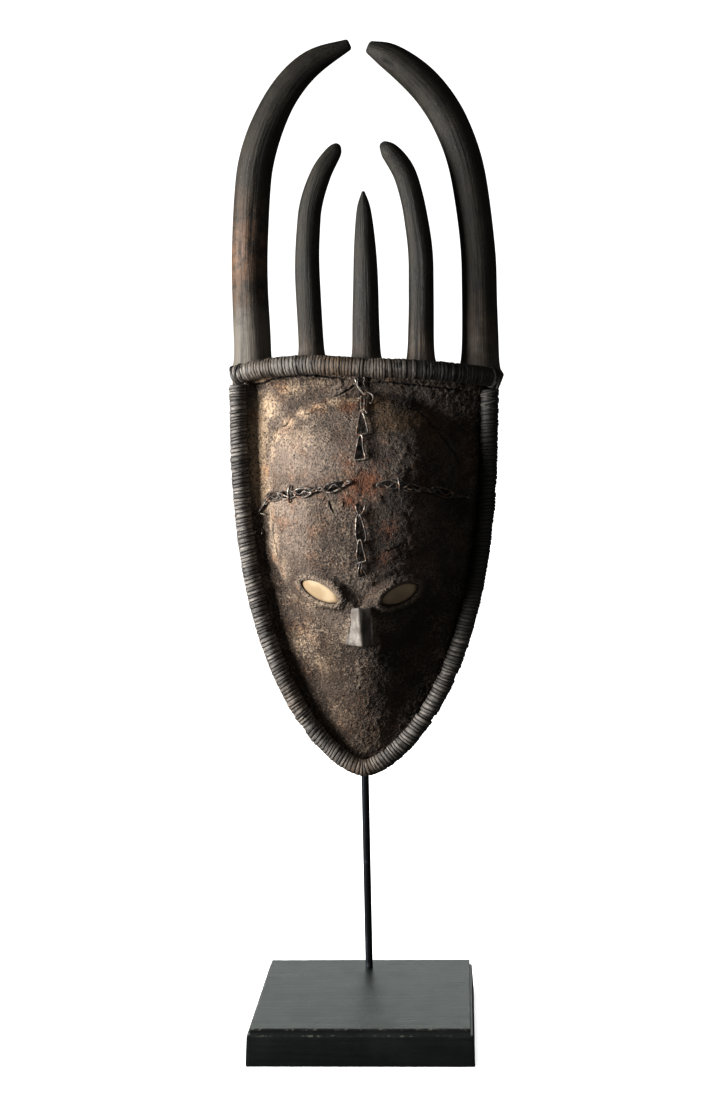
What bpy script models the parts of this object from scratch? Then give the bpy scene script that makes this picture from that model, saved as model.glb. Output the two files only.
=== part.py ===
# Horned wood mask, carved in one piece, held up by a steel rod on a black wood base.
# Metres, +Z up. The mask looks along -Y. The origin is the middle of the base's underside.
import math

import bmesh
import bpy
from mathutils import Matrix, Vector

# Base: a square block with flared sides and a low milled step on top
BASE_WIDTH = 0.200
BASE_BLOCK_HEIGHT = 0.0273
BASE_FLARE = 0.0015
BASE_STEP_HEIGHT = 0.0051
BASE_STEP_INSET = 0.003
BASE_EDGE_ROUND = 0.0006

# Rod: round steel bar, straight behind the chin, then bent forward into the crest
ROD_DIAMETER = 0.007
ROD_BACK = 0.072
ROD_SOCKET_DEPTH = 0.018
ROD_PEG_DEPTH = 0.010
ROD_BEND_HEIGHT = 0.070
ROD_BEND_RISE = 0.045
ROD_PEG_BACK = 0.0485

# Fits
CONTACT_GAP = 0.0003
PEG_CLEARANCE = 0.0004

# Mask: outline and wall, in its own frame with u to the right, v up from the chin
CHIN_HEIGHT = 0.2242
CHIN_SIDE = 0.0012
MASK_LEAN = math.radians(1.0)
MASK_HALF_WIDTH = 0.1225
FACE_HEIGHT = 0.363
OUTLINE_FALL = 2.7
OUTLINE_ROUND = 1.55
WALL = 0.009

# Face: the carving keeps its proportions. Levels are shares of the face's height, sides shares of its
# half width. The profile's second number is how far the surface stands in front of the rim, in metres.
SHIELD_BOW = 0.030
SHIELD_ROUND = 2.2
PROFILE = [(0.000, 0.0030), (0.083, 0.0125), (0.165, 0.0230), (0.275, 0.0360), (0.366, 0.0470), (0.463, 0.0600),
           (0.523, 0.0665), (0.592, 0.0715), (0.689, 0.0745), (0.771, 0.0730), (0.854, 0.0650), (0.923, 0.0510),
           (0.964, 0.0385), (0.986, 0.0300), (1.102, 0.0300)]
FOREHEAD_SIDE = 0.718
FOREHEAD_SPRING = 0.785
FOREHEAD_TOP = 0.989
FOREHEAD_ROUND = 2.15
CHEEKS = [(0.000, 0.082), (0.165, 0.245), (0.275, 0.343), (0.366, 0.424), (0.455, 0.522),
          (0.523, 0.637), (0.584, 0.706), (0.689, FOREHEAD_SIDE), (FOREHEAD_SPRING, FOREHEAD_SIDE)]
CHEEK_LEVEL = 0.413
BROW_LEVEL = 0.578
CHEEK_SHOULDER = 2.2
FOREHEAD_SHOULDER = 3.8
SHOULDER_FOOT = 0.08

# Crest: the thick ledge over the face that the horns grow from
CREST_DEPTH_BELOW = 0.008
CREST_THICKNESS = 0.034
CREST_RISE = 0.004

# Horns: side as a share of the mask's half width, height above the face and thickness at each station,
# then how far the tip leans forward
HORNS = {
    "outer_left": ([(-0.853, 0.0020, 0.0385), (-0.857, 0.0370, 0.0355), (-0.872, 0.1070, 0.0340),
                    (-0.833, 0.1920, 0.0335), (-0.653, 0.2570, 0.0300), (-0.388, 0.2945, 0.0242),
                    (-0.098, 0.3112, 0.0105)], 0.012),
    "outer_right": ([(0.869, 0.0020, 0.0400), (0.875, 0.0370, 0.0352), (0.864, 0.1070, 0.0328),
                     (0.788, 0.1890, 0.0322), (0.653, 0.2395, 0.0325), (0.437, 0.2770, 0.0310),
                     (0.200, 0.2995, 0.0250), (0.034, 0.3090, 0.0115)], 0.012),
    "middle_left": ([(-0.384, 0.0020, 0.0265), (-0.392, 0.0370, 0.0240), (-0.418, 0.1070, 0.0232),
                     (-0.402, 0.1540, 0.0222), (-0.309, 0.1930, 0.0196), (-0.204, 0.2135, 0.0140),
                     (-0.176, 0.2195, 0.0060)], 0.006),
    "middle_right": ([(0.429, 0.0020, 0.0290), (0.431, 0.0370, 0.0252), (0.434, 0.1070, 0.0233),
                      (0.392, 0.1540, 0.0226), (0.310, 0.1930, 0.0213), (0.200, 0.2125, 0.0170),
                      (0.139, 0.2200, 0.0065)], 0.006),
    "centre": ([(0.022, 0.0020, 0.0300), (0.022, 0.0370, 0.0266), (0.020, 0.0920, 0.0240),
                (0.015, 0.1320, 0.0196), (0.008, 0.1620, 0.0130), (0.005, 0.1770, 0.0030)], 0.004),
}

# Points of the face, the hollow and the roll crowd towards the chin by these powers.
FACE_CROWDING = 1.25
HOLLOW_CROWDING = 1.2
ROLL_CROWDING = 1.7
# The hollow starts this far over the chin, and the wall behind a steep face grows by no more than this factor.
HOLLOW_CHIN = 1.3 * WALL
STEEP_WALL = 1.6

# Nose: a wedge with a flat cut underside, whose level is a share of the face's height
NOSE_CENTRE = -0.0008
NOSE_UNDERSIDE = 0.353
NOSE_LENGTH = 0.0365
# Corners of its underside and of its top: aside from its centre, and how far each stands off the face.
# Left edge, ridge, right edge, and one buried in the wood.
NOSE_FOOT = [(-0.0153, -0.0015), (0.0011, 0.0105), (0.0132, 0.0055), (0.0090, -0.0090)]
NOSE_TOP = [(-0.0074, -0.0015), (-0.0016, 0.0070), (0.0100, 0.0030), (0.0070, -0.0090)]
NOSE_RIDGE_ROUND = 0.0022

# Eyes: almond inlays sloping down towards the nose, each in a pocket with a raised lid.
# Side and level are shares, the length is in metres.
EYES = {"left": (-0.309, 0.4920, 0.0372), "right": (0.278, 0.4854, 0.0352)}
EYE_WIDTH = 0.0162
# Sharpness of the almond's two points; 0 would be an ellipse
EYE_POINT = 0.14
# The lid grows less across the eye than along it
LID_ACROSS = 0.9
EYE_SLANT = math.radians(27.0)
EYE_THICKNESS = 0.0040
EYE_PROUD = 0.0002
EYE_EDGE_ROUND = 0.0006
LID_WIDTH = 0.0030
LID_HEIGHT = 0.0014

# Bindings: a wrapped bar across the crest and a wrapped roll round the edge. The bar's line is given by side,
# as a share of the half width, and height above the face.
BAR_DIAMETER = 0.0185
BAR_LINE = [(-0.970, 0.0108), (-0.839, 0.0149), (-0.611, 0.0188), (-0.390, 0.0202), (-0.162, 0.0189),
            (0.059, 0.0170), (0.279, 0.0163), (0.500, 0.0145), (0.721, 0.0121), (0.941, 0.0085),
            (1.032, 0.0045)]
ROLL_DIAMETER = 0.0170
ROLL_OVERHANG = 0.0018
ROLL_CLEARANCE = 0.0006

# Chains: hand-bent iron links lying on the forehead, from the middle of the cross outwards.
# Sides and levels are shares; the top one ends just under the bar.
LINK_LENGTH = 0.0235
LINK_WIDTH = 0.0086
LINK_WIRE = 0.0017
LINK_TAPER = 0.22
LINK_TURN = math.radians(33.0)
LINK_GRIP = 0.45
CHAIN_CLEARANCE = 0.0014
CHAIN_BELOW_BAR = 0.0020
CHAINS = {
    "chain_top": [(0.007, 0.820), (0.024, 0.909), (0.024, None)],
    "chain_bottom": [(0.011, 0.713), (-0.003, 0.625), (-0.010, 0.530)],
    "chain_left": [(-0.086, 0.767), (-0.392, 0.749), (-0.718, 0.719)],
    "chain_right": [(0.106, 0.766), (0.441, 0.760), (0.800, 0.725)],
}

# Places worked out from the sizes above
BASE_HEIGHT = BASE_BLOCK_HEIGHT + BASE_STEP_HEIGHT
CREST_UNDERSIDE = FACE_HEIGHT - CREST_DEPTH_BELOW
RIM_BACK = ROD_BACK - ROD_DIAMETER / 2 - CONTACT_GAP
RIM_FRONT = RIM_BACK - WALL
FRAME = Matrix.Translation((CHIN_SIDE, 0.0, CHIN_HEIGHT)) @ Matrix.Rotation(MASK_LEAN, 4, "Y")


def clamp(value, low=0.0, high=1.0):
    return max(low, min(high, value))


def smooth(value):
    value = clamp(value)
    return value * value * (3.0 - 2.0 * value)


def through(points, x):
    # Smooth curve through a list of points, level where the list turns back
    x = clamp(x, points[0][0], points[-1][0])
    index = 0
    while index < len(points) - 2 and x > points[index + 1][0]:
        index += 1

    def slope(i):
        if i == 0 or i == len(points) - 1:
            a, b = (0, 1) if i == 0 else (-2, -1)
            return (points[b][1] - points[a][1]) / (points[b][0] - points[a][0])
        before = (points[i][1] - points[i - 1][1]) / (points[i][0] - points[i - 1][0])
        after = (points[i + 1][1] - points[i][1]) / (points[i + 1][0] - points[i][0])
        return 0.0 if before * after <= 0.0 else 2.0 * before * after / (before + after)

    (x0, y0), (x1, y1) = points[index], points[index + 1]
    span = x1 - x0
    t = (x - x0) / span
    rise = (y1 - y0) * smooth(t)
    start = slope(index) * span * t * (1.0 - t) ** 2
    end = slope(index + 1) * span * t * t * (1.0 - t)
    return y0 + rise + start - end


def outline(v, half_width, chin):
    # Half width of a shield outline that closes at the chin
    t = clamp((FACE_HEIGHT - v) / (FACE_HEIGHT - chin))
    return half_width * (1.0 - t ** OUTLINE_FALL) ** (1.0 / OUTLINE_ROUND)


def plan_bow(u):
    # Bow of the crest seen from above
    return SHIELD_BOW * (1.0 - abs(u / MASK_HALF_WIDTH) ** SHIELD_ROUND)


def bow_turn(u):
    # Slope of that bow, none past its ends
    if abs(u) >= MASK_HALF_WIDTH:
        return 0.0
    return (plan_bow(u + 0.0005) - plan_bow(u - 0.0005)) / 0.001


def raised_half_width(level):
    # Half width of the raised face: the forehead's arch above, the cheeks below
    if level <= FOREHEAD_SPRING:
        return MASK_HALF_WIDTH * through(CHEEKS, level)
    t = clamp((level - FOREHEAD_SPRING) / (FOREHEAD_TOP - FOREHEAD_SPRING))
    return MASK_HALF_WIDTH * FOREHEAD_SIDE * (1.0 - t ** FOREHEAD_ROUND) ** (1.0 / FOREHEAD_ROUND)


def carved(u, v):
    # Height of the carved face over the rim, without the flats that the eyes sit on
    width = max(outline(v, MASK_HALF_WIDTH, 0.0), 0.001)
    side = min(abs(u) / width, 1.0)
    ridge = SHIELD_BOW * width / MASK_HALF_WIDTH
    shield = ridge * (1.0 - side ** SHIELD_ROUND)
    level = v / FACE_HEIGHT
    lift = max(through(PROFILE, level) - ridge, 0.0)
    raised = max(raised_half_width(level), 0.001)
    firm = smooth((level - CHEEK_LEVEL) / (BROW_LEVEL - CHEEK_LEVEL))
    shoulder = CHEEK_SHOULDER + (FOREHEAD_SHOULDER - CHEEK_SHOULDER) * firm
    inside = 1.0 - min(abs(u) / raised, 3.0) ** shoulder
    return shield + lift * (inside + math.hypot(inside, SHOULDER_FOOT)) / 2.0


class EyeSeat:
    # A flat on the face, under one eye
    def __init__(self, u, v, length):
        self.side = math.copysign(1.0, u)
        self.u = u * MASK_HALF_WIDTH
        self.v = v * FACE_HEIGHT
        self.length = length
        reach = 0.008
        self.height = carved(self.u, self.v) + 0.0012
        self.slope_u = (carved(self.u + reach, self.v) - carved(self.u - reach, self.v)) / (2 * reach)
        self.slope_v = (carved(self.u, self.v + reach) - carved(self.u, self.v - reach)) / (2 * reach)

    def plane(self, u, v):
        return self.height + self.slope_u * (u - self.u) + self.slope_v * (v - self.v)

    def along(self, u, v):
        # Place in the eye's own axes: along its length, then across it
        du, dv = (u - self.u) * self.side, v - self.v
        return (du * math.cos(EYE_SLANT) + dv * math.sin(EYE_SLANT),
                dv * math.cos(EYE_SLANT) - du * math.sin(EYE_SLANT))

    def reach(self, u, v):
        a, b = self.along(u, v)
        return math.hypot(a / (self.length / 2 + LID_WIDTH), b / (EYE_WIDTH / 2 + LID_WIDTH))


SEATS = {name: EyeSeat(*place) for name, place in EYES.items()}


def height(u, v):
    # Height of the finished face over the rim
    value = carved(u, v)
    for seat in SEATS.values():
        share = 1.0 - smooth((seat.reach(u, v) - 1.0) / 0.8)
        value += share * (seat.plane(u, v) - value)
    return value


def front(u, v):
    return RIM_FRONT - height(u, v)


def slopes(u, v, step=0.001):
    return ((height(u + step, v) - height(u - step, v)) / (2 * step),
            (height(u, v + step) - height(u, v - step)) / (2 * step))


def bar_height(u):
    return FACE_HEIGHT + through(BAR_LINE, u / MASK_HALF_WIDTH)


def clear_of_face(u, v, across, radius):
    # How far back a round bar may lie at u, v, touching the face anywhere across its width
    place = 1.0
    for step in range(-8, 9):
        aside = radius * step / 8.0
        bulge = math.sqrt(max((radius + CONTACT_GAP) ** 2 - aside ** 2, 0.0))
        place = min(place, front(u + across[0] * aside, v + across[1] * aside) - bulge)
    return place


# Scene helpers
def collection(name):
    made = bpy.data.collections.new(name)
    bpy.context.scene.collection.children.link(made)
    return made


for old in list(bpy.data.objects):
    bpy.data.objects.remove(old, do_unlink=True)

PARTS = collection("mask_on_stand")
HELPERS = collection("helpers")

mask_frame = bpy.data.objects.new("mask_frame", None)
mask_frame.matrix_world = FRAME
HELPERS.objects.link(mask_frame)


def material(name, colour, roughness, metallic=0.0):
    made = bpy.data.materials.new(name)
    made.use_nodes = True
    shader = made.node_tree.nodes["Principled BSDF"]
    shader.inputs["Base Color"].default_value = (*colour, 1.0)
    shader.inputs["Roughness"].default_value = roughness
    shader.inputs["Metallic"].default_value = metallic
    return made


def add(name, data, group, parent=None):
    made = bpy.data.objects.new(name, data)
    group.objects.link(made)
    if parent is not None:
        made.parent = parent
    return made


def as_helper(made):
    made.hide_render = True
    made.display_type = "WIRE"
    return made


def mesh_from(bm, name):
    bmesh.ops.recalc_face_normals(bm, faces=bm.faces)
    mesh = bpy.data.meshes.new(name)
    bm.to_mesh(mesh)
    bm.free()
    return mesh


def boolean(target, operand, operation):
    modifier = target.modifiers.new(operand.name, "BOOLEAN")
    modifier.operation = operation
    modifier.solver = "EXACT"
    modifier.object = operand


def tube(name, points, diameters, sides_level, group):
    # A round bar along a list of points, as a closed mesh
    curve = bpy.data.curves.new(name, "CURVE")
    curve.dimensions = "3D"
    curve.bevel_depth = 1.0
    curve.bevel_resolution = sides_level
    curve.use_fill_caps = True
    spline = curve.splines.new("POLY")
    spline.points.add(len(points) - 1)
    for place, point, diameter in zip(spline.points, points, diameters):
        place.co = (*point, 1.0)
        place.radius = diameter / 2
    drawn = add(name + "_line", curve, group)
    bpy.context.view_layer.update()
    evaluated = drawn.evaluated_get(bpy.context.evaluated_depsgraph_get())
    mesh = bpy.data.meshes.new_from_object(evaluated)
    mesh.name = name
    bpy.data.objects.remove(drawn)
    bm = bmesh.new()
    bm.from_mesh(mesh)
    bmesh.ops.remove_doubles(bm, verts=bm.verts, dist=0.00002)
    bmesh.ops.recalc_face_normals(bm, faces=bm.faces)
    bm.to_mesh(mesh)
    bm.free()
    made = add(name, mesh, group)
    mesh.shade_smooth()
    mesh.set_sharp_from_angle(angle=math.radians(50.0))
    return made


def block_behind(name, columns, rows, surface, back, group):
    # A solid between a shaped front surface and a flat plane behind it
    bm = bmesh.new()
    bmesh.ops.create_grid(bm, x_segments=columns, y_segments=rows, size=1.0)
    for vert in bm.verts:
        vert.co = surface(vert.co.x, (vert.co.y + 1.0) / 2.0)
    bmesh.ops.remove_doubles(bm, verts=bm.verts, dist=0.00002)
    border = [edge for edge in bm.edges if edge.is_boundary]
    sides = bmesh.ops.extrude_edge_only(bm, edges=border)["geom"]
    for vert in (item for item in sides if isinstance(item, bmesh.types.BMVert)):
        vert.co.y = back
    bmesh.ops.holes_fill(bm, edges=[edge for edge in bm.edges if edge.is_boundary])
    return add(name, mesh_from(bm, name), group, mask_frame)


# Stand
def base():
    # One block: flared sides, then a low step
    bm = bmesh.new()
    half = BASE_WIDTH / 2
    levels = [(half, 0.0), (half - BASE_FLARE, BASE_BLOCK_HEIGHT)]
    block = bmesh.ops.create_cube(bm, size=1.0)["verts"]
    for vert in block:
        reach, level = levels[0] if vert.co.z < 0 else levels[1]
        vert.co = (math.copysign(reach, vert.co.x), math.copysign(reach, vert.co.y), level)
    top = [face for face in bm.faces if face.calc_center_median().z > 0.9 * BASE_BLOCK_HEIGHT]
    bmesh.ops.inset_region(bm, faces=top, thickness=BASE_STEP_INSET)
    raised = bmesh.ops.extrude_face_region(bm, geom=top)["geom"]
    bmesh.ops.delete(bm, geom=top, context="FACES_ONLY")
    for vert in (item for item in raised if isinstance(item, bmesh.types.BMVert)):
        vert.co.z += BASE_STEP_HEIGHT
    made = add("stand_base", mesh_from(bm, "stand_base"), PARTS)
    made.data.materials.append(material("black_lacquered_wood", (0.022, 0.024, 0.023), 0.42))
    rounding = made.modifiers.new("edge_round", "BEVEL")
    rounding.width = BASE_EDGE_ROUND
    rounding.segments = 1
    rounding.limit_method = "ANGLE"
    rounding.angle_limit = math.radians(50.0)
    bm = bmesh.new()
    bmesh.ops.create_cone(bm, cap_ends=True, segments=16, radius1=ROD_DIAMETER / 2 + PEG_CLEARANCE,
                          radius2=ROD_DIAMETER / 2 + PEG_CLEARANCE, depth=2 * ROD_SOCKET_DEPTH)
    socket = as_helper(add("rod_socket", mesh_from(bm, "rod_socket"), HELPERS))
    socket.location = (0.0, ROD_BACK, BASE_HEIGHT)
    boolean(made, socket, "DIFFERENCE")
    return made


def crest_underside():
    # Where the rod's peg meets the underside of the crest, in the world
    u = -CHIN_SIDE - math.sin(MASK_LEAN) * CREST_UNDERSIDE
    return (FRAME @ Vector((u, ROD_PEG_BACK, CREST_UNDERSIDE))).z


def rod():
    # Straight rod, an easy double bend inside the hollow, then a short upright peg
    under = crest_underside()
    foot = BASE_HEIGHT - ROD_SOCKET_DEPTH + CONTACT_GAP
    bend_end = under - (ROD_BEND_HEIGHT - ROD_BEND_RISE)
    bend_start = under - ROD_BEND_HEIGHT
    points = [(0.0, ROD_BACK, foot)]
    steps = 8
    for step in range(steps + 1):
        share = step / steps
        points.append((0.0, ROD_BACK + (ROD_PEG_BACK - ROD_BACK) * smooth(share),
                       bend_start + (bend_end - bend_start) * share))
    points.append((0.0, ROD_PEG_BACK, under + ROD_PEG_DEPTH - CONTACT_GAP))
    made = tube("stand_rod", points, [ROD_DIAMETER] * len(points), 4, PARTS)
    made.data.materials.append(material("black_steel", (0.020, 0.022, 0.026), 0.38, 0.8))
    return made


# Mask
def face_surface(s, t):
    top = bar_height(s * MASK_HALF_WIDTH) + CREST_RISE
    v = top * t ** FACE_CROWDING
    u = s * outline(v, MASK_HALF_WIDTH, 0.0)
    return (u, front(u, v), v)


def hollow_surface(s, t):
    v = HOLLOW_CHIN + (CREST_UNDERSIDE - HOLLOW_CHIN) * t ** HOLLOW_CROWDING
    u = s * outline(v, MASK_HALF_WIDTH - WALL, HOLLOW_CHIN)
    slope_u, slope_v = slopes(u, v, 0.006)
    back = min(math.sqrt(1.0 + slope_u ** 2 + slope_v ** 2), STEEP_WALL)
    return (u, min(front(u, v) + WALL * back, RIM_BACK - 0.0005), v)


def crest():
    # Ledge that follows the bow of the face and the arch of the bar
    bm = bmesh.new()
    bmesh.ops.create_cube(bm, size=2.0)
    long_edges = [edge for edge in bm.edges if abs(edge.verts[0].co.x - edge.verts[1].co.x) > 1.0]
    bmesh.ops.subdivide_edges(bm, edges=long_edges, cuts=15, use_grid_fill=True)
    for vert in bm.verts:
        u = vert.co.x * (MASK_HALF_WIDTH - 0.0008)
        face = RIM_FRONT - plan_bow(u)
        end_round = 0.006 * smooth((abs(vert.co.x) - 0.86) / 0.14)
        back = face + 0.002 if vert.co.y < 0 else face + CREST_THICKNESS - end_round
        level = CREST_UNDERSIDE if vert.co.z < 0 else bar_height(u) + CREST_RISE - 0.0008
        vert.co = (u, back, level)
    return as_helper(add("crest", mesh_from(bm, "crest"), HELPERS, mask_frame))


def horn(name, stations, forward):
    # Round tapering horn: a smooth curve through its stations, read at even steps
    count = 3 * (len(stations) - 1)
    stations = [(side * MASK_HALF_WIDTH, FACE_HEIGHT + rise, diameter) for side, rise, diameter in stations]
    foot_u, foot_v, foot_diameter = stations[0]
    tip_v = stations[-1][1]
    behind = max(CREST_THICKNESS / 2, (foot_diameter / 2 + CONTACT_GAP) * math.hypot(1.0, bow_turn(foot_u)))
    foot_back = RIM_FRONT - plan_bow(foot_u) + behind
    marks = [float(index) for index in range(len(stations))]
    tracks = [list(zip(marks, [station[axis] for station in stations])) for axis in range(3)]
    points = []
    diameters = []
    for step in range(count + 1):
        mark = step * marks[-1] / count
        u, v, diameter = (through(track, mark) for track in tracks)
        rise = (v - foot_v) / (tip_v - foot_v)
        points.append((u, foot_back - forward * rise ** 2, v))
        diameters.append(diameter)
    made = tube("horn_" + name, points, diameters, 3, HELPERS)
    made.parent = mask_frame
    return as_helper(made)


def nose():
    # Four-sided wedge with its ridge forward, left of the middle at the top
    corner_of = {(-1, -1): 0, (1, -1): 1, (1, 1): 2, (-1, 1): 3}
    underside = NOSE_UNDERSIDE * FACE_HEIGHT
    bm = bmesh.new()
    bmesh.ops.create_cube(bm, size=2.0)
    ridge = [edge for edge in bm.edges if all(corner_of[round(vert.co.x), round(vert.co.y)] == 1 for vert in edge.verts)]
    for vert in bm.verts:
        number = corner_of[round(vert.co.x), round(vert.co.y)]
        (aside, proud), level = (NOSE_FOOT[number], underside) if vert.co.z < 0 else (NOSE_TOP[number], underside + NOSE_LENGTH)
        vert.co = (NOSE_CENTRE + aside, front(NOSE_CENTRE, level) - proud, level)
    bmesh.ops.recalc_face_normals(bm, faces=bm.faces)
    bmesh.ops.bevel(bm, geom=ridge, offset=NOSE_RIDGE_ROUND, segments=2, affect="EDGES")
    return as_helper(add("nose", mesh_from(bm, "nose"), HELPERS, mask_frame))


def almond(name, seat, grow, near, far, group):
    # Slab of almond outline on an eye's flat, from near to far in front of it
    count = 14
    bm = bmesh.new()
    half_length = seat.length / 2 + grow
    half_width = EYE_WIDTH / 2 + grow * LID_ACROSS
    circle = bmesh.ops.create_circle(bm, cap_ends=True, segments=2 * count, radius=1.0)["verts"]
    for vert in circle:
        angle = math.atan2(vert.co.y, vert.co.x)
        a = half_length * math.cos(angle)
        b = half_width * math.sin(angle) * abs(math.sin(angle)) ** EYE_POINT
        du = (a * math.cos(EYE_SLANT) - b * math.sin(EYE_SLANT)) * seat.side
        dv = a * math.sin(EYE_SLANT) + b * math.cos(EYE_SLANT)
        u, v = seat.u + du, seat.v + dv
        vert.co = (u, RIM_FRONT - seat.plane(u, v) - near, v)
    slab = bmesh.ops.extrude_face_region(bm, geom=list(bm.faces))["geom"]
    for vert in (item for item in slab if isinstance(item, bmesh.types.BMVert)):
        vert.co.y -= far - near
    made = add(name, mesh_from(bm, name), group, mask_frame)
    return made


def mask():
    made = block_behind("mask", 28, 44, face_surface, RIM_BACK, PARTS)
    made.data.shade_smooth()
    made.data.set_sharp_from_angle(angle=math.radians(50.0))
    made.data.materials.append(material("old_carved_wood", (0.085, 0.060, 0.045), 0.78))
    boolean(made, crest(), "UNION")
    for name, (stations, forward) in HORNS.items():
        boolean(made, horn(name, stations, forward), "UNION")
    boolean(made, nose(), "UNION")
    for name, seat in SEATS.items():
        boolean(made, as_helper(almond("lid_" + name, seat, LID_WIDTH, -WALL / 2, LID_HEIGHT, HELPERS)), "UNION")
    boolean(made, as_helper(block_behind("hollow", 14, 22, hollow_surface, RIM_BACK + CREST_THICKNESS, HELPERS)), "DIFFERENCE")
    for name, seat in SEATS.items():
        pocket = almond("pocket_" + name, seat, CONTACT_GAP, -EYE_THICKNESS - CONTACT_GAP, 0.02, HELPERS)
        boolean(made, as_helper(pocket), "DIFFERENCE")
    bm = bmesh.new()
    bmesh.ops.create_cone(bm, cap_ends=True, segments=16, radius1=ROD_DIAMETER / 2 + PEG_CLEARANCE,
                          radius2=ROD_DIAMETER / 2 + PEG_CLEARANCE, depth=2 * ROD_PEG_DEPTH)
    peg_hole = as_helper(add("peg_hole", mesh_from(bm, "peg_hole"), HELPERS))
    peg_hole.location = (0.0, ROD_PEG_BACK, crest_underside())
    boolean(made, peg_hole, "DIFFERENCE")
    return made


def eye(name, seat):
    made = almond("eye_" + name, seat, 0.0, -EYE_THICKNESS, EYE_PROUD, PARTS)
    made.data.materials.append(material("eye_bone_" + name, (0.62, 0.52, 0.34), 0.55))
    rounding = made.modifiers.new("edge_round", "BEVEL")
    rounding.width = EYE_EDGE_ROUND
    rounding.segments = 1
    rounding.limit_method = "ANGLE"
    rounding.angle_limit = math.radians(50.0)
    return made


# Bindings
def bar():
    # The wrapped bar lies on the front of the crest
    radius = BAR_DIAMETER / 2
    ends = BAR_LINE[0][0] * MASK_HALF_WIDTH, BAR_LINE[-1][0] * MASK_HALF_WIDTH
    count = 18
    points = []
    for step in range(count + 1):
        u = ends[0] + (ends[1] - ends[0]) * step / count
        v = bar_height(u)
        inside = clamp(u, -MASK_HALF_WIDTH, MASK_HALF_WIDTH)
        stand_off = (radius + 2 * CONTACT_GAP) * math.hypot(1.0, bow_turn(inside * 0.98))
        points.append((u, RIM_FRONT - plan_bow(inside) - stand_off, v))
    made = tube("top_binding", points, [BAR_DIAMETER] * len(points), 3, PARTS)
    made.parent = mask_frame
    made.data.materials.append(material("vine_binding_bar", (0.105, 0.090, 0.078), 0.70))
    return made


def roll():
    # The wrapped roll follows the edge from one end of the bar, round the chin, to the other
    radius = ROLL_DIAMETER / 2
    half = MASK_HALF_WIDTH + ROLL_OVERHANG - radius
    chin = radius
    count = 56
    points = []
    for step in range(count + 1):
        turn = -1.0 + 2.0 * step / count
        side = math.copysign(1.0, turn)
        lowest = min(bar_height(side * half - radius), bar_height(side * half + radius))
        top = lowest - BAR_DIAMETER / 2 - CONTACT_GAP - ROLL_CLEARANCE
        v = chin + (top - chin) * abs(turn) ** ROLL_CROWDING
        u = side * outline(v, half, chin)
        points.append((u, 0.0, v))
    placed = []
    for index, (u, _, v) in enumerate(points):
        before = points[max(index - 1, 0)]
        after = points[min(index + 1, count)]
        run = Vector((after[0] - before[0], after[2] - before[2])).normalized()
        placed.append((u, clear_of_face(u, v, (run.y, -run.x), radius) - ROLL_CLEARANCE, v))
    made = tube("edge_binding", placed, [ROLL_DIAMETER] * len(placed), 2, PARTS)
    made.parent = mask_frame
    made.data.materials.append(material("vine_binding_edge", (0.105, 0.090, 0.078), 0.70))
    return made


# Chains
class ChainLine:
    # A line lying on the face, lifted off it, that links are strung along
    def __init__(self, ends, lift):
        count = 120
        marks = [0.0, 1.0, 2.0]
        tracks = [list(zip(marks, [end[axis] for end in ends])) for axis in range(2)]
        self.places = []
        for step in range(count + 1):
            u, v = (through(track, 2.0 * step / count) for track in tracks)
            slope_u, slope_v = slopes(u, v, 0.004)
            normal = Vector((-slope_u, -1.0, -slope_v)).normalized()
            self.places.append((Vector((u, front(u, v), v)) + normal * lift, normal))
        self.reach = [0.0]
        for (before, _), (after, _) in zip(self.places, self.places[1:]):
            self.reach.append(self.reach[-1] + (after - before).length)

    def at(self, distance):
        index = 0
        while index < len(self.reach) - 2 and self.reach[index + 1] < distance:
            index += 1
        share = (distance - self.reach[index]) / (self.reach[index + 1] - self.reach[index])
        (start, start_normal), (end, end_normal) = self.places[index], self.places[index + 1]
        return start.lerp(end, share), start_normal.lerp(end_normal, share).normalized(), (end - start).normalized()


def link(bm, line, middle, length, turn):
    # One long hand-bent link: a torus drawn out along the line, narrower at one end
    bpy.ops.mesh.primitive_torus_add(major_segments=10, minor_segments=4,
                                     major_radius=(LINK_WIDTH - LINK_WIRE) / 2, minor_radius=LINK_WIRE / 2)
    torus = bpy.context.object
    mesh = torus.data
    straight = (length - LINK_WIDTH) / 2
    for vert in mesh.vertices:
        along = vert.co.x + math.copysign(straight, vert.co.x)
        across = vert.co.y * (1.0 + LINK_TAPER * along / (length / 2))
        side = across * math.cos(turn) - vert.co.z * math.sin(turn)
        rise = across * math.sin(turn) + vert.co.z * math.cos(turn)
        place, normal, forward = line.at(middle + along)
        vert.co = place + normal.cross(forward).normalized() * side + normal * rise
    bm.from_mesh(mesh)
    bpy.data.objects.remove(torus)
    bpy.data.meshes.remove(mesh)


def chain(name, ends):
    # Links turned one way and the other in turn, each hooked through the next
    half = (LINK_WIDTH - LINK_WIRE) / 2 * (1.0 + LINK_TAPER)
    line = ChainLine(ends, half * math.sin(LINK_TURN) + LINK_WIRE / 2 + CHAIN_CLEARANCE)
    shared = (2.0 - LINK_GRIP) * LINK_WIRE
    count = max(round((line.reach[-1] - shared) / (LINK_LENGTH - shared)), 2)
    length = (line.reach[-1] + (count - 1) * shared) / count
    groups = [bmesh.new(), bmesh.new()]
    for index in range(count):
        turn = LINK_TURN if index % 2 else -LINK_TURN
        link(groups[index % 2], line, length / 2 + index * (length - shared), length, turn)
    made = add(name, mesh_from(groups[0], name), PARTS, mask_frame)
    made.data.materials.append(material(name + "_iron", (0.060, 0.048, 0.042), 0.62, 0.7))
    others = as_helper(add(name + "_others", mesh_from(groups[1], name + "_others"), HELPERS, mask_frame))
    boolean(made, others, "UNION")
    return made


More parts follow.
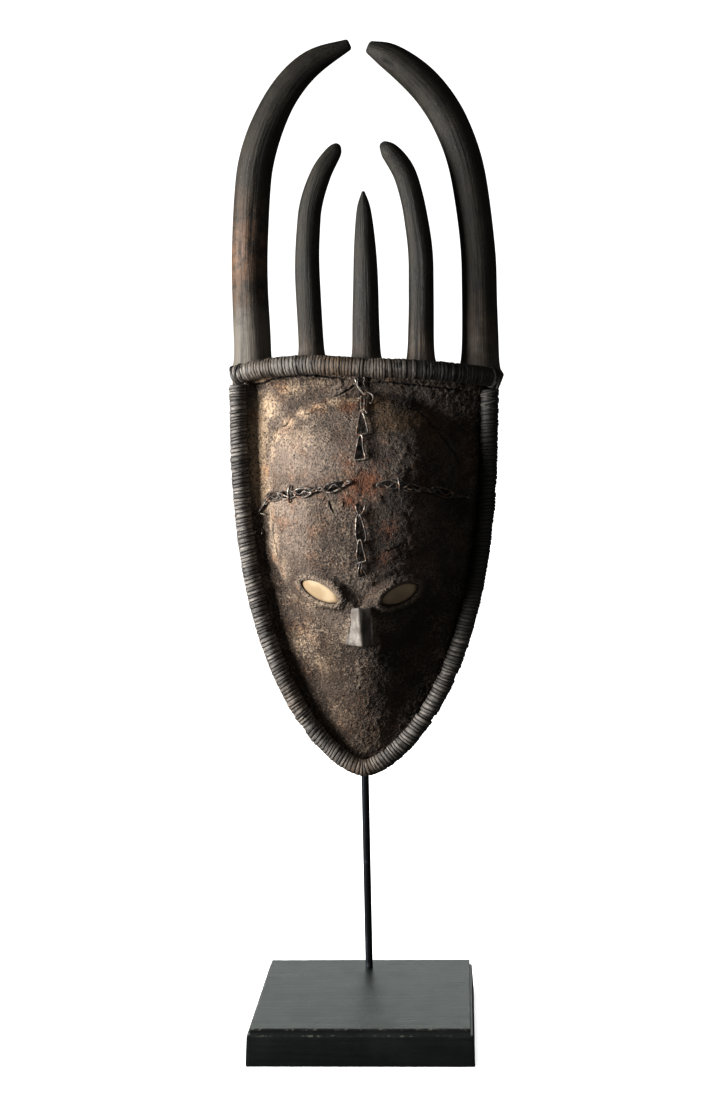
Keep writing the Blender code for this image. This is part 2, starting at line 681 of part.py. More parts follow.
base()
rod()
mask()
bar()
roll()
for side_name, side_seat in SEATS.items():
    eye(side_name, side_seat)
for chain_name, chain_ends in CHAINS.items():
    last = chain_ends[-1][0] * MASK_HALF_WIDTH
    under_bar = bar_height(last) - BAR_DIAMETER / 2 - CHAIN_BELOW_BAR
    chain(chain_name, [(side * MASK_HALF_WIDTH, under_bar if level is None else level * FACE_HEIGHT)
                       for side, level in chain_ends])
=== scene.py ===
import bisect
import math
import random

import bmesh
import bpy
from mathutils import Matrix, Vector, kdtree, noise


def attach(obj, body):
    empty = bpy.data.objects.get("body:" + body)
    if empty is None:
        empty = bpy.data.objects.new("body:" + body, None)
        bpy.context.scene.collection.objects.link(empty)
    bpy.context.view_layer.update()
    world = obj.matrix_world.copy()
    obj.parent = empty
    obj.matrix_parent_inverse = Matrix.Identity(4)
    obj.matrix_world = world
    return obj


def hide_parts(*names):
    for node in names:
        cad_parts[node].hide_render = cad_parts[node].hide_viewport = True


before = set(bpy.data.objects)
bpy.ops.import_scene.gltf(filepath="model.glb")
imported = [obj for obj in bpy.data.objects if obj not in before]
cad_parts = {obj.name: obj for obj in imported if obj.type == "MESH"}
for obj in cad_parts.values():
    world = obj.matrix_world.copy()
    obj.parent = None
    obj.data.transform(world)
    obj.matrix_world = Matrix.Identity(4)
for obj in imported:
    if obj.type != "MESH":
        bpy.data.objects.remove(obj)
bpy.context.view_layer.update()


# Stand base: a square block of black lacquered wood with flared sides and a low step milled on its top.
# Handling has chipped the lacquer along the step's edge and the outer corners.
BASE_HALF = 0.0998
BASE_FLARE = 0.0015
BASE_BLOCK_HEIGHT = 0.0273
BASE_HEIGHT = 0.0324
STEP_INSET = 0.003
LACQUER = (0.0105, 0.0125, 0.0120, 1.0)
LACQUER_DUSTY = (0.024, 0.030, 0.028, 1.0)
LACQUER_CHIPPED = (0.20, 0.19, 0.16, 1.0)


def smooth(value):
    value = max(0.0, min(1.0, value))
    return value * value * (3.0 - 2.0 * value)


def hump(value, middle, half):
    return math.exp(-((value - middle) / half) ** 2)


class Nodes:
    # Adds shader nodes to one tree; each socket takes a value, or another node's output
    def __init__(self, tree):
        self.tree = tree

    def put(self, kind, sockets=None, **settings):
        made = self.tree.nodes.new("ShaderNode" + kind)
        for name, value in settings.items():
            setattr(made, name, value)
        for key, value in (sockets or {}).items():
            if isinstance(value, bpy.types.NodeSocket):
                self.tree.links.new(value, made.inputs[key])
            else:
                made.inputs[key].default_value = value
        return made

    def reckon(self, operation, first, second):
        return self.put("Math", {0: first, 1: second}, operation=operation).outputs[0]

    def times(self, first, second):
        return self.reckon("MULTIPLY", first, second)

    def plus(self, first, second):
        return self.reckon("ADD", first, second)

    def scaled(self, value, low, high, to_low=0.0, to_high=1.0):
        return self.put("MapRange", {0: value, 1: low, 2: high, 3: to_low, 4: to_high},
                        interpolation_type="SMOOTHSTEP").outputs[0]

    def noise(self, scale, detail=5.0, rough=0.55, where=None):
        sockets = {"Vector": where or self.here, "Scale": scale, "Detail": detail, "Roughness": rough}
        return self.put("TexNoise", sockets).outputs[0]


def effect(name, inputs, outputs):
    # A node group with named sockets; each input is a name, a socket type and a default
    group = bpy.data.node_groups.new(name, "ShaderNodeTree")
    for label, kind, value in inputs:
        socket = group.interface.new_socket(name=label, in_out="INPUT", socket_type="NodeSocket" + kind)
        if value is not None:
            socket.default_value = value
    for label in outputs:
        group.interface.new_socket(name=label, in_out="OUTPUT", socket_type="NodeSocketFloat")
    given = group.nodes.new("NodeGroupOutput").inputs
    return Nodes(group), group.nodes.new("NodeGroupInput").outputs, given


# Broken patches, for dirt, wear and rust
PATCHES, asked, given = effect("patches", [("Vector", "Vector", None), ("Scale", "Float", 40.0),
                                           ("From", "Float", 0.45), ("To", "Float", 0.6)], ["Mask"])
spread = PATCHES.noise(asked["Scale"], 8.0, 0.62, asked["Vector"])
PATCHES.tree.links.new(PATCHES.scaled(spread, asked["From"], asked["To"]), given["Mask"])

# Fine streaks along the third axis, for wood grain and plant fibre
FIBRES, asked, given = effect("fibres", [("Vector", "Vector", None), ("Scale", "Float", 400.0),
                                         ("Stretch", "Float", 0.04)], ["Streaks", "Height"])
drawn_out = FIBRES.put("CombineXYZ", {0: 1.0, 1: 1.0, 2: asked["Stretch"]}).outputs[0]
along = FIBRES.put("VectorMath", {0: asked["Vector"], 1: drawn_out}, operation="MULTIPLY").outputs[0]
fine = FIBRES.noise(asked["Scale"], 6.0, 0.7, along)
FIBRES.tree.links.new(FIBRES.scaled(fine, 0.32, 0.68), given["Streaks"])
FIBRES.tree.links.new(fine, given["Height"])

# Pits and grains, for crust and cast or forged skins
PITTING, asked, given = effect("pitting", [("Vector", "Vector", None), ("Scale", "Float", 500.0)],
                               ["Height", "Pits"])
cells = PITTING.put("TexVoronoi", {"Vector": asked["Vector"], "Scale": asked["Scale"], "Randomness": 1.0},
                    feature="SMOOTH_F1").outputs[0]
rough_skin = PITTING.noise(asked["Scale"], 7.0, 0.7, asked["Vector"])
PITTING.tree.links.new(PITTING.plus(rough_skin, PITTING.times(cells, 0.6)), given["Height"])
PITTING.tree.links.new(PITTING.scaled(rough_skin, 0.44, 0.30), given["Pits"])


class Finish(Nodes):
    # A new material: its tree, its main shader, the piece's own coordinates and the colour so far
    def __init__(self, name, ground=None):
        self.material = bpy.data.materials.new(name)
        self.material.use_nodes = True
        super().__init__(self.material.node_tree)
        self.shader = self.tree.nodes["Principled BSDF"].inputs
        self.here = self.put("TexCoord").outputs["Object"]
        self.colour = ground

    def mark(self, name, output="Fac"):
        return self.put("Attribute", attribute_name=name).outputs[output]

    def turned(self, angle):
        return self.put("Mapping", {"Vector": self.here, "Rotation": (0.0, angle, 0.0)}).outputs[0]

    def use(self, group, where, **sockets):
        return self.put("Group", {"Vector": where or self.here, **sockets}, node_tree=group.tree).outputs

    def patches(self, scale, low, high):
        return self.use(PATCHES, None, Scale=scale, From=low, To=high)["Mask"]

    def fibres(self, scale, stretch, where=None):
        return self.use(FIBRES, where, Scale=scale, Stretch=stretch)

    def pitting(self, scale):
        return self.use(PITTING, None, Scale=scale)

    def mixed(self, under, over, share, mode="MIX"):
        return self.put("Mix", {0: share, 6: under, 7: over}, data_type="RGBA", blend_type=mode).outputs[2]

    def coat(self, over, share, most=None, mode="MIX"):
        # Lays a colour over the one so far, at most by that share
        share = self.times(share, most) if most else share
        self.colour = self.mixed(self.colour, over, share, mode)

    def end(self, roughness, height, distance):
        # Joins the colour, the roughness and the bump to the shader
        bump = self.put("Bump", {"Height": height, "Distance": distance, "Strength": 1.0}).outputs[0]
        for value, name in ((self.colour, "Base Color"), (roughness, "Roughness"), (bump, "Normal")):
            self.tree.links.new(value, self.shader[name])


lacquer = Finish("black_lacquer", LACQUER)
grain = lacquer.fibres(260.0, 0.05, lacquer.turned(math.radians(90.0)))
dust = lacquer.patches(28.0, 0.42, 0.70)
lacquer.coat(LACQUER_DUSTY, dust, 0.30)
lacquer.coat(LACQUER_DUSTY, grain["Streaks"], 0.25)
lacquer.coat(LACQUER_CHIPPED, lacquer.patches(900.0, 0.66, 0.72), 0.10)
lacquer.coat(LACQUER_CHIPPED, lacquer.times(lacquer.mark("edge"), lacquer.patches(330.0, 0.54, 0.62)), 0.6)
dullness = lacquer.plus(lacquer.times(dust, 0.3), grain["Height"])
lacquer.end(lacquer.scaled(dullness, 0.3, 1.0, 0.27, 0.37),
            lacquer.plus(grain["Height"], lacquer.noise(480.0, 6.0, 0.7)), 0.00030)


def part_from(bm, name, nodes, finish, sharp=50.0):
    # The finished piece: normals outwards, shaded, painted, fixed to the object, in place of its CAD nodes
    bmesh.ops.recalc_face_normals(bm, faces=bm.faces)
    mesh = bpy.data.meshes.new(name)
    bm.to_mesh(mesh)
    bm.free()
    mesh.shade_smooth()
    mesh.set_sharp_from_angle(angle=math.radians(sharp))
    mesh.materials.append(finish.material)
    made = bpy.data.objects.new(name, mesh)
    bpy.context.scene.collection.objects.link(made)
    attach(made, "root")
    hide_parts(*nodes)
    return made
def verts_in(made):
    return [item for item in made["geom"] if isinstance(item, bmesh.types.BMVert)]
bm = bmesh.new()
for vert in bmesh.ops.create_cube(bm, size=2.0)["verts"]:
    reach = BASE_HALF if vert.co.z < 0 else BASE_HALF - BASE_FLARE
    vert.co = (vert.co.x * reach, vert.co.y * reach, 0.0 if vert.co.z < 0 else BASE_BLOCK_HEIGHT)
top = [face for face in bm.faces if face.calc_center_median().z > 0.9 * BASE_BLOCK_HEIGHT]
bmesh.ops.inset_region(bm, faces=top, thickness=STEP_INSET)
lifted = bmesh.ops.extrude_face_region(bm, geom=top)
bmesh.ops.delete(bm, geom=top, context="FACES_ONLY")
for vert in verts_in(lifted):
    vert.co.z = BASE_HEIGHT
bmesh.ops.bevel(bm, geom=list(bm.edges), offset=0.0007, segments=2, profile=0.5, affect="EDGES", material=-1)
step_edge = BASE_HALF - BASE_FLARE - STEP_INSET
CHIP_CUTS = [step * 0.004 for step in range(-24, 25)] + [step_edge - 0.0016, 0.0016 - step_edge]
for axis in (Vector((1, 0, 0)), Vector((0, 1, 0))):
    for place in CHIP_CUTS:
        whole = bm.verts[:] + bm.edges[:] + bm.faces[:]
        bmesh.ops.bisect_plane(bm, geom=whole, plane_co=axis * place, plane_no=axis)
for level in (BASE_BLOCK_HEIGHT - 0.0018, BASE_HEIGHT - 0.0016):
    whole = bm.verts[:] + bm.edges[:] + bm.faces[:]
    bmesh.ops.bisect_plane(bm, geom=whole, plane_co=(0.0, 0.0, level), plane_no=(0.0, 0.0, 1.0))
worn = bm.verts.layers.float.new("edge")
for vert in bm.verts:
    x, y, z = vert.co
    side = max(abs(x), abs(y))
    on_step = z > BASE_HEIGHT - 0.001 and side > step_edge - 0.0010
    on_rim = abs(z - BASE_BLOCK_HEIGHT) < 0.001 and side > BASE_HALF - BASE_FLARE - 0.0010
    vert[worn] = 1.0 if on_step or on_rim else 0.0
    if on_step or on_rim:
        knock = max(noise.noise(vert.co * 160.0) - 0.15, 0.0)
        vert.co -= Vector((math.copysign(0.0004, x), math.copysign(0.0004, y), 0.0004)) * knock
part_from(bm, "base_block", ["stand_base"], lacquer, 35.0)


# Rod: a round steel bar painted black, standing in the base. It runs up behind the chin and is bent
# forward inside the hollow to a short peg under the crest. The paint is satin, rubbed thin in places.
ROD_RADIUS = 0.0035
ROD_BACK = 0.072
ROD_PEG_BACK = 0.0485
ROD_BEND_HEIGHT = 0.070
ROD_BEND_END = 0.025
ROD_TOP = 0.5890
ROD_UNDER_CREST = 0.5791
PAINT = (0.010, 0.012, 0.015, 1.0)
PAINT_RUBBED = (0.10, 0.11, 0.13, 1.0)
FORWARD = Vector((0.0, -1.0, 0.0))


def stretch(marks, value):
    # Which step of a rising list holds a value, and the share of the way along that step
    low = min(max(bisect.bisect_right(marks, value) - 1, 0), len(marks) - 2)
    return low, (value - marks[low]) / (marks[low + 1] - marks[low])


class Line:
    # A path that tubes follow
    def __init__(self, points):
        self.points = [Vector(point) for point in points]
        self.reach = [0.0]
        for before, after in zip(self.points, self.points[1:]):
            self.reach.append(self.reach[-1] + (after - before).length)
        self.length = self.reach[-1]
        ends = [self.points[0], *self.points, self.points[-1]]
        self.runs = [(after - before).normalized() for before, after in zip(ends, ends[2:])]

    def at(self, distance, turn):
        # The point there, and the way out from it at a turn from the front
        low, share = stretch(self.reach, distance)
        run = self.runs[low].lerp(self.runs[low + 1], share).normalized()
        ahead = (FORWARD - run * run.dot(FORWARD)).normalized()
        out = ahead * math.cos(turn) + run.cross(ahead) * math.sin(turn)
        return self.points[low].lerp(self.points[low + 1], share), out


def tube(sides, rings, names, place):
    # Closed tube: a cylinder cut into rings, whose points place() then lays by ring number and turn
    bm = bmesh.new()
    layers = bm.verts.layers
    marks = {name: (layers.float_vector if name == "grain" else layers.float).new(name) for name in names}
    bmesh.ops.create_cone(bm, cap_ends=True, segments=sides, radius1=1.0, radius2=1.0, depth=2.0)
    upright = [edge for edge in bm.edges if abs(edge.verts[0].co.z - edge.verts[1].co.z) > 1.0]
    bmesh.ops.subdivide_edges(bm, edges=upright, cuts=rings - 1, use_grid_fill=True)
    for vert in bm.verts:
        ring = round((vert.co.z + 1.0) / 2.0 * rings)
        place(vert, marks, ring, math.atan2(vert.co.y, vert.co.x))
    return bm


ROD_RINGS, BEND_STEPS = 150, 24
rod_points = [(0.0, ROD_BACK, 0.0150), (0.0, ROD_BACK, ROD_UNDER_CREST - ROD_BEND_HEIGHT)]
for step in range(1, BEND_STEPS + 1):
    share = step / BEND_STEPS
    rod_points.append((0.0, ROD_BACK + (ROD_PEG_BACK - ROD_BACK) * smooth(share),
                       ROD_UNDER_CREST - ROD_BEND_HEIGHT + (ROD_BEND_HEIGHT - ROD_BEND_END) * share))
rod_points.append((0.0, ROD_PEG_BACK, ROD_TOP - 0.0004))
rod_line = Line(rod_points)


def rod_point(vert, marks, ring, turn):
    middle, out = rod_line.at(rod_line.length * ring / ROD_RINGS, turn)
    spread = ROD_RADIUS * (1.0 + 0.008 * noise.noise(middle * 90.0))
    vert[marks["grain"]] = (math.cos(turn) * spread, math.sin(turn) * spread, middle.z)
    vert.co = middle + out * spread


paint = Finish("black_rod_paint", PAINT)
paint.coat(PAINT_RUBBED, paint.patches(120.0, 0.58, 0.70), 0.45)
brushed = paint.fibres(900.0, 0.03)["Height"]
paint.shader["Metallic"].default_value = 0.55
paint.end(paint.scaled(brushed, 0.2, 0.8, 0.28, 0.48), brushed, 0.00008)
part_from(tube(20, ROD_RINGS, ["grain"], rod_point), "rod", ["stand_rod"], paint)


# Mask face: carved from one block of wood with the horns, hollow behind, and covered with a thin dark crust
# of old resin and skin. It has cracked along the forehead's arch and lifted in a seam under the bar.
# The frame is the mask's own: u to the right, v up from the chin, and the whole leans by one degree.
MASK_FRAME = Matrix.Translation((0.0012, 0.0, 0.2242)) @ Matrix.Rotation(math.radians(1.0), 4, "Y")
HALF_WIDTH = 0.1225
FACE_HEIGHT = 0.363
OUTLINE_FALL = 2.7
OUTLINE_ROUND = 1.55
WALL = 0.009
RIM_BACK = 0.0682
RIM_FRONT = RIM_BACK - WALL
SHIELD_BOW = 0.030
SHIELD_ROUND = 2.2
PROFILE = [(0.000, 0.0030), (0.083, 0.0125), (0.165, 0.0230), (0.275, 0.0360), (0.366, 0.0470),
           (0.463, 0.0600), (0.523, 0.0665), (0.592, 0.0715), (0.689, 0.0745), (0.771, 0.0730),
           (0.854, 0.0650), (0.923, 0.0510), (0.964, 0.0385), (0.986, 0.0300), (1.102, 0.0300)]
FOREHEAD_SIDE = 0.718
FOREHEAD_SPRING = 0.785
FOREHEAD_TOP = 0.989
FOREHEAD_ROUND = 2.15
CHEEKS = [(0.000, 0.082), (0.165, 0.245), (0.275, 0.343), (0.366, 0.424), (0.455, 0.522),
          (0.523, 0.637), (0.584, 0.706), (0.689, FOREHEAD_SIDE), (FOREHEAD_SPRING, FOREHEAD_SIDE)]
BAR_RADIUS = 0.00925
BAR_LINE = [(-0.970, 0.0108), (-0.839, 0.0149), (-0.611, 0.0188), (-0.390, 0.0202), (-0.162, 0.0189),
            (0.059, 0.0170), (0.279, 0.0163), (0.500, 0.0145), (0.721, 0.0121), (0.941, 0.0085),
            (1.032, 0.0045)]
CREST_UNDERSIDE = FACE_HEIGHT - 0.008
CREST_RISE = 0.004
CREST_THICKNESS = 0.034
NOSE_CENTRE = -0.0008
NOSE_UNDERSIDE = 0.1281
NOSE_LENGTH = 0.0365
NOSE_WIDTH = 0.0295
NOSE_TOP_WIDTH = 0.0130
EYES = {"left": (-0.309, 0.4920, 0.0372), "right": (0.278, 0.4854, 0.0352)}
EYE_WIDTH = 0.0162
EYE_POINT = 0.14
EYE_SLANT = math.radians(27.0)
LID_WIDTH = 0.0034
LID_HEIGHT = 0.0017
# Cracks in the crust: their marks in millimetres, then width and depth
CRACKS = [
    ([(-115, 364.3), (-108, 365.2), (-93, 366.9), (-81, 371), (-67, 373.2), (-52, 374.5), (-39, 373),
      (-25, 371.6), (-11, 369.2), (-3, 368.3)], 1, 1.5),
    ([(5, 366.4), (21, 368), (34, 366.3), (52, 364.4), (70, 361.7), (89, 359.8), (104, 356)], 0.9, 1.2),
    ([(-2, 367.4), (-9, 362.9), (-17, 357.5), (-23, 354.8), (-29, 352.1)], 1, 1.4),
    ([(-74.5, 326.6), (-69.4, 328.5), (-64.8, 334.9), (-61, 336)], 1.2, 1.6),
    ([(-52, 337.5), (-45.4, 340.4), (-38, 343.1), (-32.5, 344.9)], 0.7, 0.8),
    ([(-79.3, 320.2), (-81.1, 312.9), (-80, 306)], 0.8, 1),
    ([(28.2, 347.4), (39.9, 345.5), (48.9, 341.9), (57, 334.6), (65.1, 325.6), (75.1, 313.6), (84.1, 300.6),
      (89.6, 286.6)], 0.7, 0.9),
    ([(-26.9, 262.6), (-26, 255.4), (-21.5, 250.1)], 0.9, 1.1),
    ([(-14.3, 262.6), (-15.2, 255.5)], 0.7, 0.8),
    ([(-31, 266), (-34, 259)], 0.6, 0.7),
    ([(-84, 250), (-82, 226), (-77, 205)], 0.5, 0.5),
    ([(17, 214), (30, 219), (42, 224)], 0.6, 0.7),
]
# Painted shadow, partly soot, worked in under the chains: u, v and half width in millimetres
SOOT_AND_SHADOW_LINES = [
    [(0, 366, 3), (1, 352, 3), (1, 340, 2), (1, 330, 3), (1.5, 322, 4.5)],
    [(0, 318, 1.5), (0, 308, 3), (0, 300, 4.5)],
    [(0, 256, 4), (0, 250, 1.5), (0.5, 240, 3.5), (1, 229, 4.5)],
    [(0, 225, 1.5), (0, 214, 3), (1, 208, 3), (1.5, 196, 3.5)],
    [(-8, 279, 1), (-20, 275, 3.5), (-32, 272, 2.5), (-44, 271, 2), (-52, 268.6, 3.2), (-60, 268, 3),
     (-66, 266, 3.4), (-74, 264.5, 2.6), (-80, 263.5, 3.6), (-88, 261, 2.5), (-96, 249, 1.5)],
    [(14, 275, 2), (26, 276, 3.5), (34, 276, 4), (46, 273.5, 3), (58, 270.5, 2), (72, 267.5, 3.4),
     (84, 263.5, 2)],
]
# Stains, and among the tan ones painted highlights along the lit left flange, the dome's left foot and its
# arch: middle and half sizes in millimetres, and strength
TAN_AND_HIGHLIGHT = [(-98, 322, 9, 30, 1.0), (-98, 285, 8, 26, 1.1), (-94, 262, 9, 14, 0.9), (-90, 346, 12, 14, 0.75),
       (-66, 362, 16, 8, 0.55), (-40, 366, 14, 5, 0.4), (-95, 371, 12, 4, 0.9), (-70, 377, 14, 4, 0.7),
       (-40, 378, 20, 3, 0.5), (40, 371, 30, 3, 0.45), (-83, 305, 4, 10, 0.5), (-79, 319, 5, 7, 0.6),
       (-68, 331, 7, 6, 0.65), (-54, 339, 8, 5, 0.6), (-40, 345, 8, 4, 0.6), (-26, 349, 8, 3.5, 0.6),
       (-10, 351, 8, 3, 0.6), (-60, 318, 22, 12, 0.35), (-88, 280, 4, 24, 0.3), (-85, 244, 3, 16, 0.5),
       (-80, 220, 3.5, 14, 0.55), (-72, 198, 3.5, 12, 0.45), (-58, 130, 14, 20, 0.40),
       (-40, 108, 14, 12, 0.36), (-48, 168, 20, 12, 0.36), (-20, 60, 16, 20, 0.28), (0, 8, 10, 8, 0.5),
       (-66, 262, 20, 4, 0.25)]
RUBBED = [(-55, 302, 34, 28, 1.0), (-62, 240, 22, 34, 0.9), (-20, 330, 26, 14, 0.5), (-90, 340, 22, 20, 0.8),
          (-96, 280, 12, 50, 0.7), (52, 235, 14, 20, 0.5), (0, 182, 12, 12, 0.3), (-22, 150, 12, 10, 0.5),
          (64, 205, 10, 30, 0.4)]
RUST = [(4, 277, 16, 12, 1.0), (-8, 264, 10, 10, 0.8), (26, 236, 10, 12, 0.55), (-10, 296, 9, 8, 0.5),
        (16, 294, 12, 8, 0.4), (-12, 345, 10, 7, 0.7), (22, 209, 12, 8, 0.45), (2, 236, 12, 22, 0.35),
        (95, 300, 8, 26, 0.30), (45, 205, 16, 8, 0.3), (-52, 112, 14, 8, 0.2), (0, 60, 34, 26, 0.22)]
OCHRE = [(36, 333, 26, 10, 1.0), (60, 318, 12, 14, 0.6), (14, 346, 14, 8, 0.8), (-14, 348, 14, 6, 0.6),
         (-40, 343, 20, 6, 0.35), (8, 40, 16, 24, 0.35), (-8, 96, 26, 12, 0.25)]


def through(points, x):
    # Smooth curve through a list of points, level where the list turns back
    x = max(points[0][0], min(points[-1][0], x))
    index = 0
    while index < len(points) - 2 and x > points[index + 1][0]:
        index += 1

    def slope(i):
        if i == 0 or i == len(points) - 1:
            a, b = (0, 1) if i == 0 else (-2, -1)
            return (points[b][1] - points[a][1]) / (points[b][0] - points[a][0])
        before = (points[i][1] - points[i - 1][1]) / (points[i][0] - points[i - 1][0])
        after = (points[i + 1][1] - points[i][1]) / (points[i + 1][0] - points[i][0])
        return 0.0 if before * after <= 0.0 else 2.0 * before * after / (before + after)

    (x0, y0), (x1, y1) = points[index], points[index + 1]
    span = x1 - x0
    t = (x - x0) / span
    return (y0 + (y1 - y0) * smooth(t) + slope(index) * span * t * (1.0 - t) ** 2
            - slope(index + 1) * span * t * t * (1.0 - t))


def between(start, end, share):
    return [a + (b - a) * share for a, b in zip(start, end)]


def slopes(surface, u, v, reach):
    return ((surface(u + reach, v) - surface(u - reach, v)) / (2 * reach),
            (surface(u, v + reach) - surface(u, v - reach)) / (2 * reach))


def outline(v, half_width, chin):
    t = max(0.0, min(1.0, (FACE_HEIGHT - v) / (FACE_HEIGHT - chin)))
    return half_width * (1.0 - t ** OUTLINE_FALL) ** (1.0 / OUTLINE_ROUND)


def plan_bow(u):
    return SHIELD_BOW * (1.0 - min(abs(u / HALF_WIDTH), 1.0) ** SHIELD_ROUND)


def bow_turn(u):
    return 0.0 if abs(u) >= HALF_WIDTH else (plan_bow(u + 0.0005) - plan_bow(u - 0.0005)) / 0.001


def raised_half_width(level):
    if level <= FOREHEAD_SPRING:
        return HALF_WIDTH * through(CHEEKS, level)
    t = min((level - FOREHEAD_SPRING) / (FOREHEAD_TOP - FOREHEAD_SPRING), 1.0)
    return HALF_WIDTH * FOREHEAD_SIDE * (1.0 - t ** FOREHEAD_ROUND) ** (1.0 / FOREHEAD_ROUND)


def carved(u, v):
    # Height of the carved face over the rim, without the flats that the eyes sit on
    width = max(outline(v, HALF_WIDTH, 0.0), 0.001)
    ridge = SHIELD_BOW * width / HALF_WIDTH
    shield = ridge * (1.0 - min(abs(u) / width, 1.0) ** SHIELD_ROUND)
    level = v / FACE_HEIGHT
    lift = max(through(PROFILE, level) - ridge, 0.0)
    raised = max(raised_half_width(level), 0.001)
    shoulder = 2.2 + 1.6 * smooth((level - 0.413) / (0.578 - 0.413))
    inside = 1.0 - min(abs(u) / raised, 3.0) ** shoulder
    return shield + lift * (inside + math.hypot(inside, 0.08)) / 2.0


class EyeSeat:
    # The flat under one eye, and places on it along and across the eye
    def __init__(self, u, v, length):
        self.side = math.copysign(1.0, u)
        self.u, self.v, self.length = u * HALF_WIDTH, v * FACE_HEIGHT, length
        self.height = carved(self.u, self.v) + 0.0012
        self.slope_u, self.slope_v = slopes(carved, self.u, self.v, 0.008)

    def plane(self, u, v):
        return self.height + self.slope_u * (u - self.u) + self.slope_v * (v - self.v)

    def along(self, u, v):
        du, dv = (u - self.u) * self.side, v - self.v
        return (du * math.cos(EYE_SLANT) + dv * math.sin(EYE_SLANT),
                dv * math.cos(EYE_SLANT) - du * math.sin(EYE_SLANT))

    def place(self, a, b):
        du = (a * math.cos(EYE_SLANT) - b * math.sin(EYE_SLANT)) * self.side
        return self.u + du, self.v + a * math.sin(EYE_SLANT) + b * math.cos(EYE_SLANT)

    def reach(self, u, v):
        a, b = self.along(u, v)
        return math.hypot(a / (self.length / 2 + 0.003), b / (EYE_WIDTH / 2 + 0.003))

    def outside(self, u, v):
        # Distance outside the eye's almond, less than zero inside it
        a, b = self.along(u, v)
        half = self.length / 2
        a, b = abs(a) / half, max(abs(b) / (EYE_WIDTH / 2), 1e-4)
        power = 2.0 / (1.0 + EYE_POINT)
        steep = math.hypot(2.0 * a / half, power * b ** (power - 1.0) / (EYE_WIDTH / 2))
        return (a * a + b ** power - 1.0) / max(steep, 30.0)


SEATS = {name: EyeSeat(*place) for name, place in EYES.items()}


def height(u, v):
    value = carved(u, v)
    for seat in SEATS.values():
        reach = seat.reach(u, v)
        if reach < 1.8:
            value += (1.0 - smooth((reach - 1.0) / 0.8)) * (seat.plane(u, v) - value)
    return value


def front(u, v):
    return RIM_FRONT - height(u, v)


def bar_height(u):
    return FACE_HEIGHT + through(BAR_LINE, u / HALF_WIDTH)


def wandering(marks, seed):
    # Points every half millimetre along a mark in millimetres, swaying as a crack does
    points = []
    for before, after in zip(marks, marks[1:]):
        count = max(int(math.dist(before, after) / 1000.0 / 0.0005), 1)
        for index in range(count):
            u, v = (value / 1000.0 for value in between(before, after, index / count))
            broad = noise.noise_vector((u * 170.0, v * 170.0, seed))
            swing = broad + 0.5 * noise.noise_vector((u * 420.0, v * 420.0, seed))
            points.append((u + CRACK_SWAY * swing.x, v + CRACK_SWAY * swing.y))
    return points


def tree_of(points):
    found = kdtree.KDTree(len(points))
    for index, point in enumerate(points):
        found.insert((point[0], point[1], 0.0), index)
    found.balance()
    return found


CRACK_SWAY = 0.0011
crack_points = []
for number, (marks, width, depth) in enumerate(CRACKS):
    laid = wandering(marks, float(number))
    for index, (u, v) in enumerate(laid):
        ends = smooth(min(index, len(laid) - 1 - index) / (0.25 * len(laid)))
        crack_points.append((u, v, width / 1000.0 * (0.45 + 0.55 * ends), depth / 1000.0 * ends))
crack_tree = tree_of(crack_points)
soot_and_shadow_points = []
for marks in SOOT_AND_SHADOW_LINES:
    for before, after in zip(marks, marks[1:]):
        for step in range(12):
            soot_and_shadow_points.append([value / 1000.0 for value in between(before, after, step / 12)])
soot_and_shadow_tree = tree_of(soot_and_shadow_points)


def sooted_and_shadowed(u, v):
    # Share of painted shadow and soot, full under a chain's links and ragged at its edge
    _, index, away = soot_and_shadow_tree.find((u, v, 0.0))
    ragged = 0.0012 * noise.noise((u * 260.0, v * 260.0, 9.0))
    return 1.0 - smooth((away + ragged - 0.75 * soot_and_shadow_points[index][2]) / 0.0016)


SEAM = sorted((u / 1000.0, v / 1000.0) for marks, _, _ in CRACKS[:2] for u, v in marks)


def nose_reach(u, v):
    # Distance outside the foot of the nose
    share = (v - NOSE_UNDERSIDE) / NOSE_LENGTH
    half = NOSE_WIDTH / 2 + (NOSE_TOP_WIDTH - NOSE_WIDTH) / 2 * max(0.0, min(1.0, share))
    aside = abs(u - NOSE_CENTRE) - half
    over = max(v - NOSE_UNDERSIDE - NOSE_LENGTH, NOSE_UNDERSIDE - v)
    return math.hypot(max(aside, 0.0), max(over, 0.0)) if aside > 0.0 or over > 0.0 else max(aside, over)


